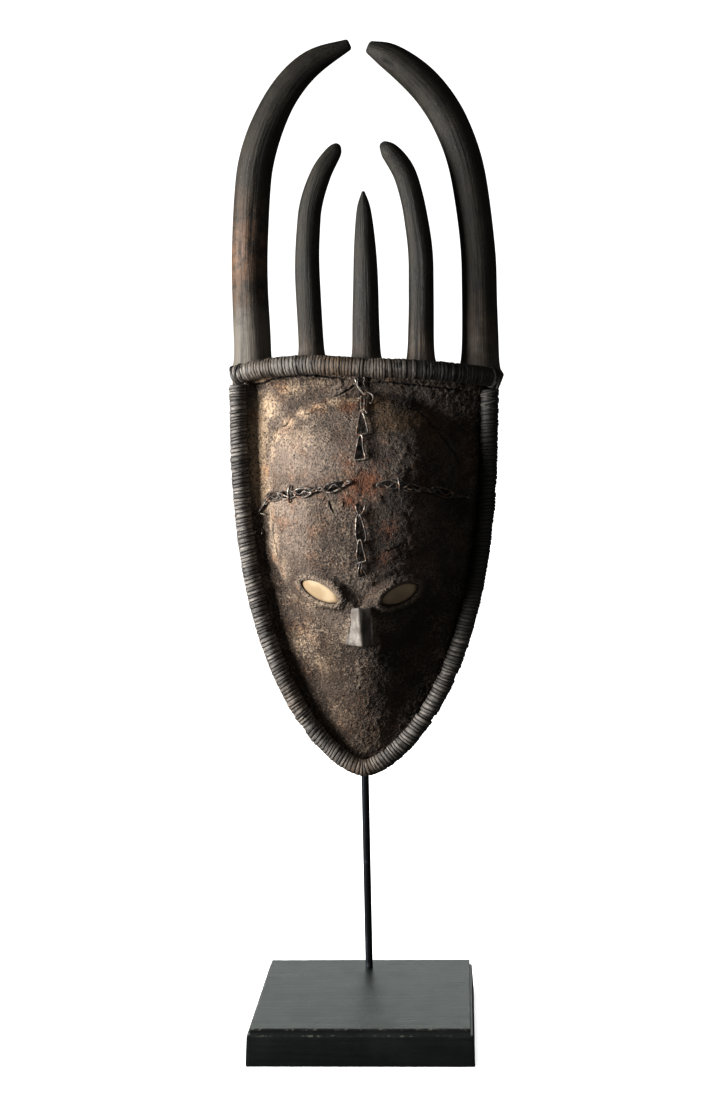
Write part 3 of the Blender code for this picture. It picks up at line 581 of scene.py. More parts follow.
def relief(u, v):
    # Height of the crust over the carved wood, and how open a crack is there
    spot = Vector((u, v, 0.37))
    edge = smooth((outline(v, HALF_WIDTH, 0.0) - abs(u)) / 0.010)
    lumps = 0.0009 * noise.noise(spot * 42.0) + 0.0005 * noise.noise(spot * 95.0)
    ridges = -0.0004 * abs(noise.noise(spot * 150.0 + Vector((5.0, 0.0, 0.0))))
    grit = 0.00050 * noise.noise(spot * 330.0) + 0.00050 * noise.noise(spot * 560.0)
    flake = noise.noise(spot * 60.0 + Vector((0.0, 7.0, 0.0)))
    heavy = 1.0 + 0.9 * smooth((abs(u) - raised_half_width(v / FACE_HEIGHT) - 0.002) / 0.008)
    value = edge * (lumps + heavy * (ridges + grit) + 0.0005 * smooth((flake - 0.05) / 0.06))
    value += 0.0010 * smooth((v - through(SEAM, u)) / 0.0012)
    # The dome's foot: a crease outside, then bark-like wrinkles running along it
    level = v / FACE_HEIGHT
    if 0.42 < level < 0.985:
        foot = abs(u) - raised_half_width(level)
        show = smooth((level - 0.42) / 0.08) * smooth((0.985 - level) / 0.05)
        show *= 0.25 + 0.75 * smooth(0.5 + 1.6 * noise.noise((u * 30.0, v * 30.0, 8.0)))
        value += show * (0.0006 * hump(foot, -0.0045, 0.0034) - 0.0008 * hump(foot, 0.0012, 0.0026))
        value -= 0.0007 * smooth((u - 0.02) / 0.04) * hump(foot, 0.006, 0.006)
        value += show * 0.0011 * hump(foot, -0.007, 0.007) * noise.noise((foot * 420.0, v * 38.0, 4.0))
    soot_and_shadow = sooted_and_shadowed(u, v)
    value -= 0.0009 * soot_and_shadow
    _, index, away = crack_tree.find((u, v, 0.0))
    width, depth = crack_points[index][2:]
    opening = 1.0 - smooth((away - width * 0.25) / width)
    lip = hump(away, 1.7 * width, 0.9 * width)
    value += edge * (0.35 * depth * lip - depth * opening)
    swell = nose_reach(u, v)
    if -0.02 < swell < 0.02:
        value += 0.0020 * math.exp(-max(swell, 0.0) / 0.0035) * smooth((v - NOSE_UNDERSIDE + 0.001) / 0.006)
        undercut = hump(v, NOSE_UNDERSIDE - 0.0016, 0.0014)
        value -= 0.0010 * undercut * smooth((0.017 - abs(u - NOSE_CENTRE)) / 0.004)
    for seat in SEATS.values():
        if seat.reach(u, v) < 2.2:
            away = seat.outside(u, v)
            rim = hump(away, 0.0022, LID_WIDTH * 0.78)
            value *= 0.4 + 0.6 * smooth(away / 0.005)
            value += LID_HEIGHT * rim * smooth((away + 0.0004) / 0.0008)
            value -= 0.0035 * (1.0 - smooth((away + 0.0008) / 0.0008))
            value -= 0.0010 * hump(away, 0.0068, 0.0024)
            opening = max(opening, 0.7 * (1.0 - smooth((abs(away + 0.0002) - 0.0002) / 0.0005)))
    return value, opening, soot_and_shadow


def spot_strength(spots, u, v):
    strength = 0.0
    for middle_u, middle_v, half_u, half_v, most in spots:
        away = ((u * 1000 - middle_u) / half_u) ** 2 + ((v * 1000 - middle_v) / half_v) ** 2
        if away < 8.0:
            strength = max(strength, most * math.exp(-0.7 * away))
    return strength


def grimed_and_shaded(u, v):
    # Share of the darker right half, partly soot and partly painted shade away from the light, and of the
    # brown lower face
    sway = noise.noise((u * 22.0, v * 22.0, 6.0))
    spread = 0.034 + 0.030 * smooth((0.14 - v) / 0.08)
    dark = smooth((u + 0.006 + 0.014 * sway) / spread) * (0.80 + 0.35 * sway)
    # Painted shade: the right flange, turned from the light, is darkened further
    dark += 0.25 * smooth((u - 0.07) / 0.02)
    low = smooth((0.165 - v) / 0.03) * (0.70 + 0.5 * sway)
    return max(0.0, min(1.0, dark)), max(0.0, min(1.0, low))


def needs_detail(u, v, level):
    # Where the face needs finer faces: round the eyes and along cracks, and once more at the eyes
    reach = min(seat.reach(u, v) for seat in SEATS.values())
    if level == 0:
        return reach < 1.45 or crack_tree.find((u, v, 0.0))[2] < 0.0022
    return reach < 1.3


bm = bmesh.new()
COLUMNS, ROWS = 190, 290
bmesh.ops.create_grid(bm, x_segments=COLUMNS, y_segments=ROWS, size=1.0)
for vert in bm.verts:
    s, t = vert.co.x, (vert.co.y + 1.0) / 2.0
    v = (bar_height(s * HALF_WIDTH) + CREST_RISE) * t ** 1.25
    vert.co = (s * outline(v, HALF_WIDTH, 0.0), 0.0, v)
bmesh.ops.remove_doubles(bm, verts=bm.verts, dist=0.00002)
for level in range(2):
    bm.edges.index_update()
    crowded = {}
    for face in bm.faces:
        middle = face.calc_center_median()
        if needs_detail(middle.x, middle.z, level):
            crowded.update((edge.index, edge) for edge in face.edges)
    fine = [crowded[index] for index in sorted(crowded)]
    bmesh.ops.subdivide_edges(bm, edges=fine, cuts=1, use_grid_fill=True)
for vert in bm.verts:
    vert.co.y = front(vert.co.x, vert.co.z)
bmesh.ops.recalc_face_normals(bm, faces=bm.faces)
bm.normal_update()
if bm.faces[len(bm.faces) // 2].normal.y > 0:
    bmesh.ops.reverse_faces(bm, faces=bm.faces)
bm.normal_update()
STAINS_AND_HIGHLIGHTS = {"tan": TAN_AND_HIGHLIGHT, "rust": RUST, "ochre": OCHRE, "rubbed": RUBBED}
layer = {name: bm.verts.layers.float.new(name) for name in
         ("crack", "tan", "rust", "ochre", "rubbed", "relief", "soot_and_shadow", "grime_and_shade", "lower")}
placed = []
for vert in bm.verts:
    u, v = vert.co.x, vert.co.z
    value, opening, soot_and_shadow = relief(u, v)
    vert[layer["crack"]] = opening
    vert[layer["soot_and_shadow"]] = soot_and_shadow
    vert[layer["relief"]] = value * 1000.0
    for name, spots in STAINS_AND_HIGHLIGHTS.items():
        vert[layer[name]] = spot_strength(spots, u, v)
    vert[layer["grime_and_shade"]], vert[layer["lower"]] = grimed_and_shaded(u, v)
    placed.append(vert.co + vert.normal * value if not vert.is_boundary else vert.co.copy())
for vert, place in zip(bm.verts, placed):
    vert.co = place
border = [edge for edge in bm.edges if edge.is_boundary]
sides = bmesh.ops.extrude_edge_only(bm, edges=border)
for vert in verts_in(sides):
    vert.co.y = RIM_BACK
outer_loop = [edge for edge in bm.edges if edge.is_boundary]
whole = set(bm.verts)
bmesh.ops.create_grid(bm, x_segments=60, y_segments=96, size=1.0)
hollow = [vert for vert in bm.verts if vert not in whole]
for vert in hollow:
    s, t = vert.co.x, (vert.co.y + 1.0) / 2.0
    chin = 1.3 * WALL
    v = chin + (CREST_UNDERSIDE - chin) * t ** 1.2
    u = s * outline(v, HALF_WIDTH - WALL, chin)
    slope_u, slope_v = slopes(height, u, v, 0.006)
    back = min(math.sqrt(1.0 + slope_u ** 2 + slope_v ** 2), 1.6)
    tool_mark = 0.0007 * abs(noise.noise((u * 55.0, v * 34.0, 2.0)))
    vert.co = (u, min(front(u, v) + WALL * back + tool_mark, RIM_BACK - 0.0005), v)
bmesh.ops.remove_doubles(bm, verts=hollow, dist=0.00002)
outer = set(outer_loop)
mouth = [edge for edge in bm.edges if edge.is_boundary and edge not in outer]
lip = bmesh.ops.extrude_edge_only(bm, edges=mouth)
for vert in verts_in(lip):
    vert.co.y = RIM_BACK
bmesh.ops.triangle_fill(bm, use_beauty=True, edges=[edge for edge in bm.edges if edge.is_boundary])
bmesh.ops.transform(bm, matrix=MASK_FRAME, verts=bm.verts)

SOOT_AND_SHADOW_DARK = (0.010, 0.008, 0.0065, 1.0)
BROWN = (0.050, 0.031, 0.019, 1.0)
ROSE_GREY = (0.205, 0.156, 0.122, 1.0)
LOWER_BROWN = (0.054, 0.033, 0.019, 1.0)
PALE_GRAIN = (0.42, 0.33, 0.25, 1.0)
BARE_TAN_AND_HIGHLIGHT = (0.62, 0.46, 0.31, 1.0)
RUSTY = (0.20, 0.072, 0.026, 1.0)
OCHRE_BROWN = (0.150, 0.088, 0.038, 1.0)
CRACK_DARK = (0.005, 0.004, 0.003, 1.0)
SMOKED_AND_SHADED = (0.34, 0.31, 0.29, 1.0)
CHESTNUT = (0.95, 0.66, 0.46, 1.0)

crust = Finish("old_crust", BROWN)
broad = crust.noise(30.0, 8.0, 0.6)
middle = crust.noise(150.0, 9.0, 0.68)
grains = crust.noise(560.0, 5.0, 0.65)
pits = crust.pitting(520.0)
mix = crust.plus(crust.times(broad, 0.9), crust.times(middle, 0.8))
mix = crust.plus(mix, crust.times(crust.mark("rubbed"), 0.42))
crust.coat(ROSE_GREY, crust.scaled(mix, 0.60, 1.36))
crust.coat(LOWER_BROWN, crust.mark("lower"), 0.9)
high = crust.plus(crust.times(crust.mark("relief"), 0.45), crust.times(grains, 3.4))
crust.coat(PALE_GRAIN, crust.scaled(high, 1.75, 2.5), 0.55)
# Painted shade, partly grime: the right half of the face is darkened by multiplying
shade = crust.times(crust.mark("grime_and_shade"), crust.scaled(broad, 0.72, 0.40, 0.55, 0.95))
crust.coat(SMOKED_AND_SHADED, shade, mode="MULTIPLY")
# The tan spots hold both tan crust and painted highlights on the lit left edges and along the dome's arch
for name, stain_and_highlight_colour, size in (("ochre", OCHRE_BROWN, 160.0), ("rust", RUSTY, 210.0), ("tan", BARE_TAN_AND_HIGHLIGHT, 330.0)):
    ragged = crust.plus(crust.mark(name), crust.times(crust.noise(size, 8.0, 0.80), 2.0))
    crust.coat(stain_and_highlight_colour, crust.scaled(ragged, 1.14, 1.86), 0.88)
crust.coat(CHESTNUT, crust.patches(42.0, 0.50, 0.66), 0.55, "MULTIPLY")
crust.coat(SOOT_AND_SHADOW_DARK, crust.scaled(grains, 0.50, 0.34), 0.9)
crust.coat(SOOT_AND_SHADOW_DARK, crust.scaled(middle, 0.42, 0.28), 0.5)
crust.coat(SOOT_AND_SHADOW_DARK, pits["Pits"], 0.8)
# Painted shadow, partly soot, under the chains' links
crust.coat(SOOT_AND_SHADOW_DARK, crust.mark("soot_and_shadow"), 0.7)
crust.coat(CRACK_DARK, crust.mark("crack"))
crust.shader["Specular IOR Level"].default_value = 0.4
calm = crust.scaled(crust.mark("rubbed"), 0.2, 0.9, 1.0, 0.55)
skin_height = crust.plus(pits["Height"], crust.times(grains, 1.6))
crust.end(crust.scaled(middle, 0.3, 0.7, 0.50, 0.74), crust.times(skin_height, calm), 0.0020)
part_from(bm, "mask_face", ["mask"], crust, 60.0)


# Nose: a wedge left standing in the carving, one edge forward, cut flat underneath. Its left cheek, towards
# the light, is rubbed smooth and painted pale, partly wear and partly painted light; its right one is broader
# and painted dark as shade, and the top runs into the brow.
# Corners in millimetres from the nose's middle: left, ridge, right; and how far each stands off the face
NOSE_FOOT = [(-15.0, 2.0), (1.1, 10.5), (13.2, 5.5), (6.0, -9.0)]
NOSE_TOP = [(-8.6, 1.5), (-1.6, 7.5), (10.0, 4.0), (6.0, -9.0)]
bm = bmesh.new()
bmesh.ops.create_cube(bm, size=2.0)
low, high = front(NOSE_CENTRE, NOSE_UNDERSIDE), front(NOSE_CENTRE, NOSE_UNDERSIDE + NOSE_LENGTH)
corner_of = {(-1, -1): 0, (1, -1): 1, (1, 1): 2, (-1, 1): 3}
for vert in bm.verts:
    number = corner_of[(round(vert.co.x), round(vert.co.y))]
    upper = vert.co.z > 0
    aside, proud = (NOSE_TOP if upper else NOSE_FOOT)[number]
    vert.co = (NOSE_CENTRE + aside / 1000.0, (high if upper else low) - proud / 1000.0,
               NOSE_UNDERSIDE + (NOSE_LENGTH if upper else 0.0))
bmesh.ops.bevel(bm, geom=list(bm.edges), offset=0.0011, segments=3, profile=0.5, affect="EDGES", material=-1)
long_edges = [edge for edge in bm.edges if edge.calc_length() > 0.007]
bmesh.ops.subdivide_edges(bm, edges=long_edges, cuts=13, use_grid_fill=True)
bmesh.ops.recalc_face_normals(bm, faces=bm.faces)
bm.normal_update()
lit_cheek = bm.verts.layers.float.new("lit_cheek")
for vert in bm.verts:
    spot = Vector((vert.co.x, vert.co.z, 0.2))
    share = (vert.co.z - NOSE_UNDERSIDE) / NOSE_LENGTH
    aside = (vert.co.x - NOSE_CENTRE) * 1000.0
    # Painted light: the cheek left of the ridge, towards the light, is marked to take the pale colour
    vert[lit_cheek] = smooth((1.4 - 2.8 * share - aside) / 1.6) * smooth((1.05 - share) / 0.55)
    on_side = -12.0 < aside < -3.0 or 3.0 < aside < 10.0
    dished = 0.0010 * math.sin(math.pi * max(0.0, min(1.0, share))) if on_side else 0.0
    vert.co += vert.normal * (0.0006 * noise.noise(spot * 90.0) + 0.0003 * noise.noise(spot * 260.0) - dished)
    vert.co.z += 0.0007 * smooth((abs(aside) - 6.0) / 8.0) * (1.0 - share) if share < 0.2 else 0.0
bmesh.ops.smooth_vert(bm, verts=bm.verts, factor=0.5, use_axis_x=True, use_axis_y=True, use_axis_z=True)
bmesh.ops.transform(bm, matrix=MASK_FRAME, verts=bm.verts)
cheeks = Finish("rubbed_and_lit_wood")
broad = cheeks.noise(70.0, 7.0, 0.6)
clouds = cheeks.scaled(broad, 0.35, 0.65)
streaks = cheeks.fibres(300.0, 0.25)
# Lit and shaded copies of the same wood: pale on the left cheek, dull elsewhere
lit_side_colour = cheeks.mixed((0.14, 0.122, 0.105, 1.0), (0.27, 0.24, 0.21, 1.0), clouds)
shaded_side_colour = cheeks.mixed((0.060, 0.051, 0.044, 1.0), (0.14, 0.122, 0.106, 1.0), clouds)
cheeks.colour = cheeks.mixed(shaded_side_colour, lit_side_colour, cheeks.mark("lit_cheek"))
cheeks.coat((0.075, 0.062, 0.053, 1.0), streaks["Streaks"], 0.5)
cheeks.end(cheeks.scaled(broad, 0.3, 0.7, 0.42, 0.62),
           cheeks.plus(streaks["Height"], cheeks.pitting(350.0)["Height"]), 0.0003)
part_from(bm, "mask_nose", ["mask"], cheeks, 40.0)


# Crest: the thick ledge of the same block that the horns grow from, behind the wrapped bar. It is plain
# tooled wood, darkened by handling, with its edges worn round.
CREST_COLOUR = (0.034, 0.027, 0.022, 1.0)
CREST_WORN = (0.105, 0.085, 0.070, 1.0)
bm = bmesh.new()
bmesh.ops.create_cube(bm, size=2.0)
long_edges = [edge for edge in bm.edges if abs(edge.verts[0].co.x - edge.verts[1].co.x) > 1.0]
bmesh.ops.bevel(bm, geom=long_edges, offset=0.11, segments=3, profile=0.5, affect="EDGES", material=-1)
long_edges = [edge for edge in bm.edges if abs(edge.verts[0].co.x - edge.verts[1].co.x) > 1.0]
bmesh.ops.subdivide_edges(bm, edges=long_edges, cuts=119, use_grid_fill=True)
across = [edge for edge in bm.edges
          if max(abs((edge.verts[0].co - edge.verts[1].co)[axis]) for axis in (1, 2)) > 1.0]
bmesh.ops.subdivide_edges(bm, edges=across, cuts=11, use_grid_fill=True)
for vert in bm.verts:
    s = vert.co.x
    u = s * (HALF_WIDTH - 0.0008)
    near_face = RIM_FRONT - plan_bow(u)
    far = near_face + CREST_THICKNESS - 0.006 * smooth((abs(s) - 0.86) / 0.14)
    top = bar_height(u) + CREST_RISE - 0.0008
    vert.co = (u, near_face + 0.002 + (far - near_face - 0.002) * (vert.co.y + 1.0) / 2.0,
               CREST_UNDERSIDE + (top - CREST_UNDERSIDE) * (vert.co.z + 1.0) / 2.0)
bm.normal_update()
for vert in bm.verts:
    cut = 0.0007 * noise.noise(vert.co * 60.0) - 0.0006 * abs(noise.noise(vert.co * 110.0)) - 0.0004
    vert.co += vert.normal * cut
bmesh.ops.transform(bm, matrix=MASK_FRAME, verts=bm.verts)
tooled = Finish("tooled_wood", CREST_COLOUR)
grain = tooled.fibres(330.0, 0.06, tooled.turned(math.radians(90.0)))
tooled.coat(CREST_WORN, tooled.patches(60.0, 0.46, 0.66), 0.7)
tooled.coat((0.016, 0.012, 0.010, 1.0), grain["Streaks"], 0.4)
tooled.end(tooled.scaled(grain["Height"], 0.3, 0.7, 0.55, 0.75),
           tooled.plus(grain["Height"], tooled.pitting(300.0)["Height"]), 0.0006)
part_from(bm, "mask_crest", ["mask"], tooled, 55.0)


# Horns: five round tapering horns of the same block, scraped smooth along the grain and dark with handling.
# The outer pair is cut blunt where the tips nearly meet; long drying cracks run up the wood.
# Stations: side as a share of the half width, height above the face, thickness. Then the forward lean, and
# the rounding of the tip.
HORNS = {
    "outer_left": ([(-0.853, 0.0020, 0.0385), (-0.857, 0.0370, 0.0355), (-0.872, 0.1070, 0.0340),
                    (-0.833, 0.1920, 0.0335), (-0.653, 0.2570, 0.0300), (-0.388, 0.2945, 0.0242),
                    (-0.098, 0.3112, 0.0105)], 0.012, 0.0022),
    "outer_right": ([(0.869, 0.0020, 0.0400), (0.875, 0.0370, 0.0352), (0.864, 0.1070, 0.0328),
                     (0.788, 0.1890, 0.0322), (0.653, 0.2395, 0.0325), (0.437, 0.2770, 0.0310),
                     (0.200, 0.2995, 0.0250), (0.034, 0.3090, 0.0115)], 0.012, 0.0022),
    "middle_left": ([(-0.384, 0.0020, 0.0265), (-0.392, 0.0370, 0.0240), (-0.418, 0.1070, 0.0232),
                     (-0.402, 0.1540, 0.0222), (-0.309, 0.1930, 0.0196), (-0.204, 0.2135, 0.0140),
                     (-0.176, 0.2195, 0.0060)], 0.006, 0.0020),
    "middle_right": ([(0.429, 0.0020, 0.0290), (0.431, 0.0370, 0.0252), (0.434, 0.1070, 0.0233),
                      (0.392, 0.1540, 0.0226), (0.310, 0.1930, 0.0213), (0.200, 0.2125, 0.0170),
                      (0.139, 0.2200, 0.0065)], 0.006, 0.0020),
    "centre": ([(0.022, 0.0020, 0.0300), (0.022, 0.0370, 0.0266), (0.020, 0.0920, 0.0240),
                (0.015, 0.1320, 0.0196), (0.008, 0.1620, 0.0130), (0.005, 0.1770, 0.0030)], 0.004, 0.0010),
}
# Drying cracks: share of the length where each starts and ends, turn from the front, width in turn
CHECKS = {
    "outer_left": [(0.18, 0.42, -0.5, 0.035), (0.30, 0.52, 0.15, 0.03), (0.22, 0.30, -0.9, 0.03)],
    "outer_right": [(0.12, 0.36, -0.15, 0.045), (0.90, 0.955, -0.55, 0.16), (0.05, 0.18, 0.4, 0.03)],
    "middle_left": [(0.10, 0.34, -0.4, 0.05)],
    "middle_right": [(0.05, 0.30, -0.3, 0.05)],
    "centre": [(0.10, 0.42, 0.1, 0.05), (0.20, 0.36, -0.5, 0.04)],
}
HORN_DARK = (0.008, 0.0075, 0.006, 1.0)
HORN_MID = (0.027, 0.023, 0.017, 1.0)
HORN_WORN = (0.125, 0.110, 0.090, 1.0)
HORN_WARM = (0.125, 0.070, 0.040, 1.0)

wood = Finish("horn_wood", HORN_DARK)
wood.here = wood.mark("grain", "Vector")
grain = wood.fibres(420.0, 0.035)
coarse = wood.fibres(120.0, 0.06)
tone = wood.noise(48.0, 9.0, 0.66)
wood.coat(HORN_MID, wood.scaled(tone, 0.35, 0.68))
wood.coat(HORN_WARM, wood.times(wood.mark("warm"), wood.scaled(wood.noise(70.0, 8.0, 0.65), 0.35, 0.6)))
worn = wood.plus(wood.mark("worn"), wood.times(wood.noise(90.0, 9.0, 0.7), 1.3))
wood.coat(HORN_WORN, wood.scaled(worn, 0.75, 1.75))
wood.coat((0.075, 0.064, 0.050, 1.0), grain["Streaks"], 0.20)
wood.coat((0.10, 0.085, 0.066, 1.0), wood.patches(380.0, 0.60, 0.70), 0.5)
wood.coat((0.015, 0.012, 0.010, 1.0), wood.scaled(coarse["Streaks"], 0.55, 1.0), 0.6)
wood.coat(CRACK_DARK, wood.mark("crack"))
wood.shader["Specular IOR Level"].default_value = 0.25
wood.end(wood.scaled(wood.plus(tone, grain["Height"]), 0.6, 1.4, 0.46, 0.68),
         wood.plus(grain["Height"], wood.times(coarse["Height"], 1.2)), 0.0009)

HORN_RINGS, HORN_SIDES, TIP_RINGS = 120, 40, 6
for name, (stations, forward, tip_round) in HORNS.items():
    stations = [(side * HALF_WIDTH, FACE_HEIGHT + rise, diameter) for side, rise, diameter in stations]
    foot_u, foot_v, foot_diameter = stations[0]
    behind = max(CREST_THICKNESS / 2, (foot_diameter / 2 + 0.0003) * math.hypot(1.0, bow_turn(foot_u)))
    foot_back = RIM_FRONT - plan_bow(foot_u) + behind
    tracks = [[(float(i), station[axis]) for i, station in enumerate(stations)] for axis in range(3)]
    samples = []
    for step in range(241):
        mark = step * (len(stations) - 1) / 240
        u, v, diameter = (through(track, mark) for track in tracks)
        rise = (v - foot_v) / (stations[-1][1] - foot_v)
        samples.append((MASK_FRAME @ Vector((u, foot_back - forward * rise ** 2, v)), diameter, v))
    line = Line([sample[0] for sample in samples])
    crest_top = bar_height(foot_u) + CREST_RISE

    def measured(axis, distance):
        # The horn's thickness or its height along its length
        low, share = stretch(line.reach, distance)
        return samples[low][axis] + (samples[low + 1][axis] - samples[low][axis]) * share

    def horn_point(vert, marks, ring, turn):
        if ring <= HORN_RINGS - TIP_RINGS:
            distance = (line.length - tip_round) * ring / (HORN_RINGS - TIP_RINGS)
            close = 1.0
        else:
            step = (ring - HORN_RINGS + TIP_RINGS) / TIP_RINGS * math.pi / 2
            distance = line.length - tip_round * (1.0 - math.sin(step))
            edge = tip_round / (measured(1, line.length) / 2)
            close = 1.0 - min(edge, 0.98) * (1.0 - math.cos(step))
        middle, out = line.at(distance, turn)
        radius = measured(1, distance) / 2 * close
        x, y = math.cos(turn) * 0.016, math.sin(turn) * 0.016
        share = distance / line.length
        spot = Vector((x * 60.0, y * 60.0, distance * 22.0)) + Vector((foot_u * 99.0, 0.0, 0.0))
        dented = 0.00045 * noise.noise(spot)
        scraped = 0.00022 * noise.noise((x * 240.0, y * 240.0, distance * 12.0))
        opening = 0.0
        for start, end, where, width in CHECKS[name]:
            if start < share < end:
                reach = smooth(min(share - start, end - share) / (0.3 * (end - start)))
                lean = where + 0.10 * noise.noise((distance * 45.0, where, 3.0))
                opening = max(opening, reach * (1.0 - smooth((abs(turn - lean) - width * 0.3) / width)))
        above = measured(2, distance) - crest_top
        flare = 0.0030 * math.exp(-max(above, 0.0) / 0.0045) * smooth((above + 0.006) / 0.004)
        flare *= 0.6 if abs(foot_u) > 0.09 else 1.0
        spread = radius - 0.0004 + dented + scraped - 0.0009 * opening + flare
        vert[marks["grain"]] = (x + foot_u, y, distance)
        vert[marks["crack"]] = opening * 0.9
        warm = (0.34, 0.13) if name == "outer_left" else (0.12, 0.10)
        vert[marks["warm"]] = (1.0 if name == "outer_left" else 0.35) * hump(share, *warm)
        vert[marks["worn"]] = ((1.25 if foot_u < -0.09 else 0.55) * hump(share, 0.06, 0.16)
                               + 0.12 * hump(share, 0.98, 0.06))
        vert.co = middle + out * max(spread, 0.0002)

    horn = tube(HORN_SIDES, HORN_RINGS, ["grain", "crack", "warm", "worn"], horn_point)
    part_from(horn, "horn_" + name, ["mask"], wood, 70.0)


# Eyes: two almond plates of pale bone set into pockets in the face, slightly crowned, darker at the rim,
# partly stain and partly painted shade under the lids, and scored with faint lines of growth.
EYE_THICKNESS = 0.0032
# How each plate is set: the right one stands out more at its outer end
EYE_SET = {"left": 0.0, "right": 0.19}
BONE = (0.35, 0.26, 0.16, 1.0)
BONE_PALE = (0.44, 0.345, 0.225, 1.0)
BONE_STAIN_AND_SHADE = (0.16, 0.10, 0.05, 1.0)
bone = Finish("bone_inlay", BONE)
lines = bone.fibres(500.0, 0.12, bone.turned(1.1))
clouds = bone.noise(60.0, 3.0, 0.5)
bone.coat(BONE_PALE, bone.scaled(clouds, 0.35, 0.65))
bone.coat((0.48, 0.36, 0.20, 1.0), lines["Streaks"], 0.03)
# Painted shade, partly stain: the outer rim of each plate, under the lids, is darkened
bone.coat(BONE_STAIN_AND_SHADE, bone.times(bone.mark("rim"), bone.scaled(bone.noise(420.0, 5.0, 0.6), 0.25, 0.55)))
bone.coat(BONE_STAIN_AND_SHADE, bone.patches(420.0, 0.74, 0.80), 0.35)
bone.end(bone.scaled(clouds, 0.3, 0.7, 0.45, 0.60), lines["Height"], 0.00004)
for name, seat in SEATS.items():
    bm = bmesh.new()
    rim_stain_and_shade_layer = bm.verts.layers.float.new("rim")
    bmesh.ops.create_circle(bm, cap_ends=True, segments=72, radius=1.0)
    for _ in range(6):
        bmesh.ops.inset_region(bm, faces=[max(bm.faces, key=lambda face: len(face.verts))], thickness=0.14,
                               use_boundary=True)
    for vert in bm.verts:
        angle, reach = math.atan2(vert.co.y, vert.co.x), vert.co.length
        a = (seat.length / 2 - 0.0002) * reach * math.cos(angle)
        b = (EYE_WIDTH / 2 - 0.0002) * reach * math.sin(angle) * abs(math.sin(angle)) ** EYE_POINT
        u, v = seat.place(a, b)
        vert[rim_stain_and_shade_layer] = smooth((reach - 0.80) / 0.2)
        crown = 0.0007 * (1.0 - reach ** 2.4) - 0.0005 * smooth((reach - 0.9) / 0.1)
        vert.co = (u, RIM_FRONT - seat.plane(u, v) - crown - EYE_SET[name] * a, v)
    for vert in verts_in(bmesh.ops.extrude_face_region(bm, geom=list(bm.faces))):
        vert.co.y += EYE_THICKNESS
    bmesh.ops.transform(bm, matrix=MASK_FRAME, verts=bm.verts)
    part_from(bm, "eye_plate_" + name, ["eye_" + name], bone, 60.0)


# Wrapped bar and edge roll: a bundle of cane bound tightly with split vine, one winding beside the next,
# first across the crest, then round the whole edge. The windings are uneven, dry and worn on their crowns,
# with a few splices where one strip ends and the next starts.
VINE_DARK = (0.020, 0.017, 0.014, 1.0)
VINE_MID = (0.085, 0.074, 0.064, 1.0)
VINE_PALE = (0.44, 0.40, 0.355, 1.0)
VINE_WARM = (0.20, 0.125, 0.070, 1.0)
ROLL_RADIUS = 0.0085
ROLL_HALF = HALF_WIDTH + 0.0018 - ROLL_RADIUS

vine = Finish("split_vine", VINE_DARK)
fibre_way = vine.put("Mapping", {"Vector": vine.mark("grain", "Vector"), "Scale": (1.0, 1.0, 9.0)}).outputs[0]
fibre = vine.noise(170.0, 8.0, 0.7, fibre_way)
tone = vine.plus(vine.times(vine.mark("tone"), 0.6), vine.times(fibre, 0.7))
vine.coat(VINE_MID, vine.scaled(tone, 0.30, 0.95))
vine.coat(VINE_PALE, vine.times(vine.mark("crown"), vine.scaled(fibre, 0.42, 0.68)))
vine.coat(VINE_WARM, vine.times(vine.mark("warm"), vine.scaled(fibre, 0.35, 0.6)))
vine.coat(VINE_DARK, vine.patches(90.0, 0.58, 0.70))
vine.coat((0.006, 0.005, 0.004, 1.0), vine.mark("gap"))
vine.shader["Specular IOR Level"].default_value = 0.45
vine.end(vine.scaled(fibre, 0.3, 0.7, 0.50, 0.74), fibre, 0.0005)
VINE_MARKS = ["grain", "tone", "gap", "crown", "warm"]


def windings(length, pitch, chance, splices=(), lean=0.0):
    # One entry for each winding: where it starts and how wide it is, its tone, its rise and its lean
    laid = []
    at = 0.0
    sway = lean
    while at < length - 0.3 * pitch:
        width = min(pitch * chance.choice((0.7, 0.85, 1.0, 1.0, 1.15, 1.45)), length - at)
        sway = 0.75 * sway + 0.25 * lean + chance.uniform(-0.00035, 0.00035)
        broken = any(abs(at - splice * length) < 0.7 * pitch for splice in splices)
        tone = chance.uniform(0.0, 1.0)
        rise = chance.uniform(-0.0003, 0.0003) - (0.0011 if broken else 0.0)
        laid.append((at, width, tone, rise, sway))
        at += width
    return laid


# Across one winding: share of its width, drop below its crown, and how far it is gap or worn crown
ACROSS = [(0.0, -0.00075, 1.0, 0.0), (0.13, -0.00008, 0.30, 0.4), (0.34, 0.0, 0.0, 1.0),
          (0.68, -0.00002, 0.0, 1.0), (0.88, -0.00012, 0.30, 0.4)]


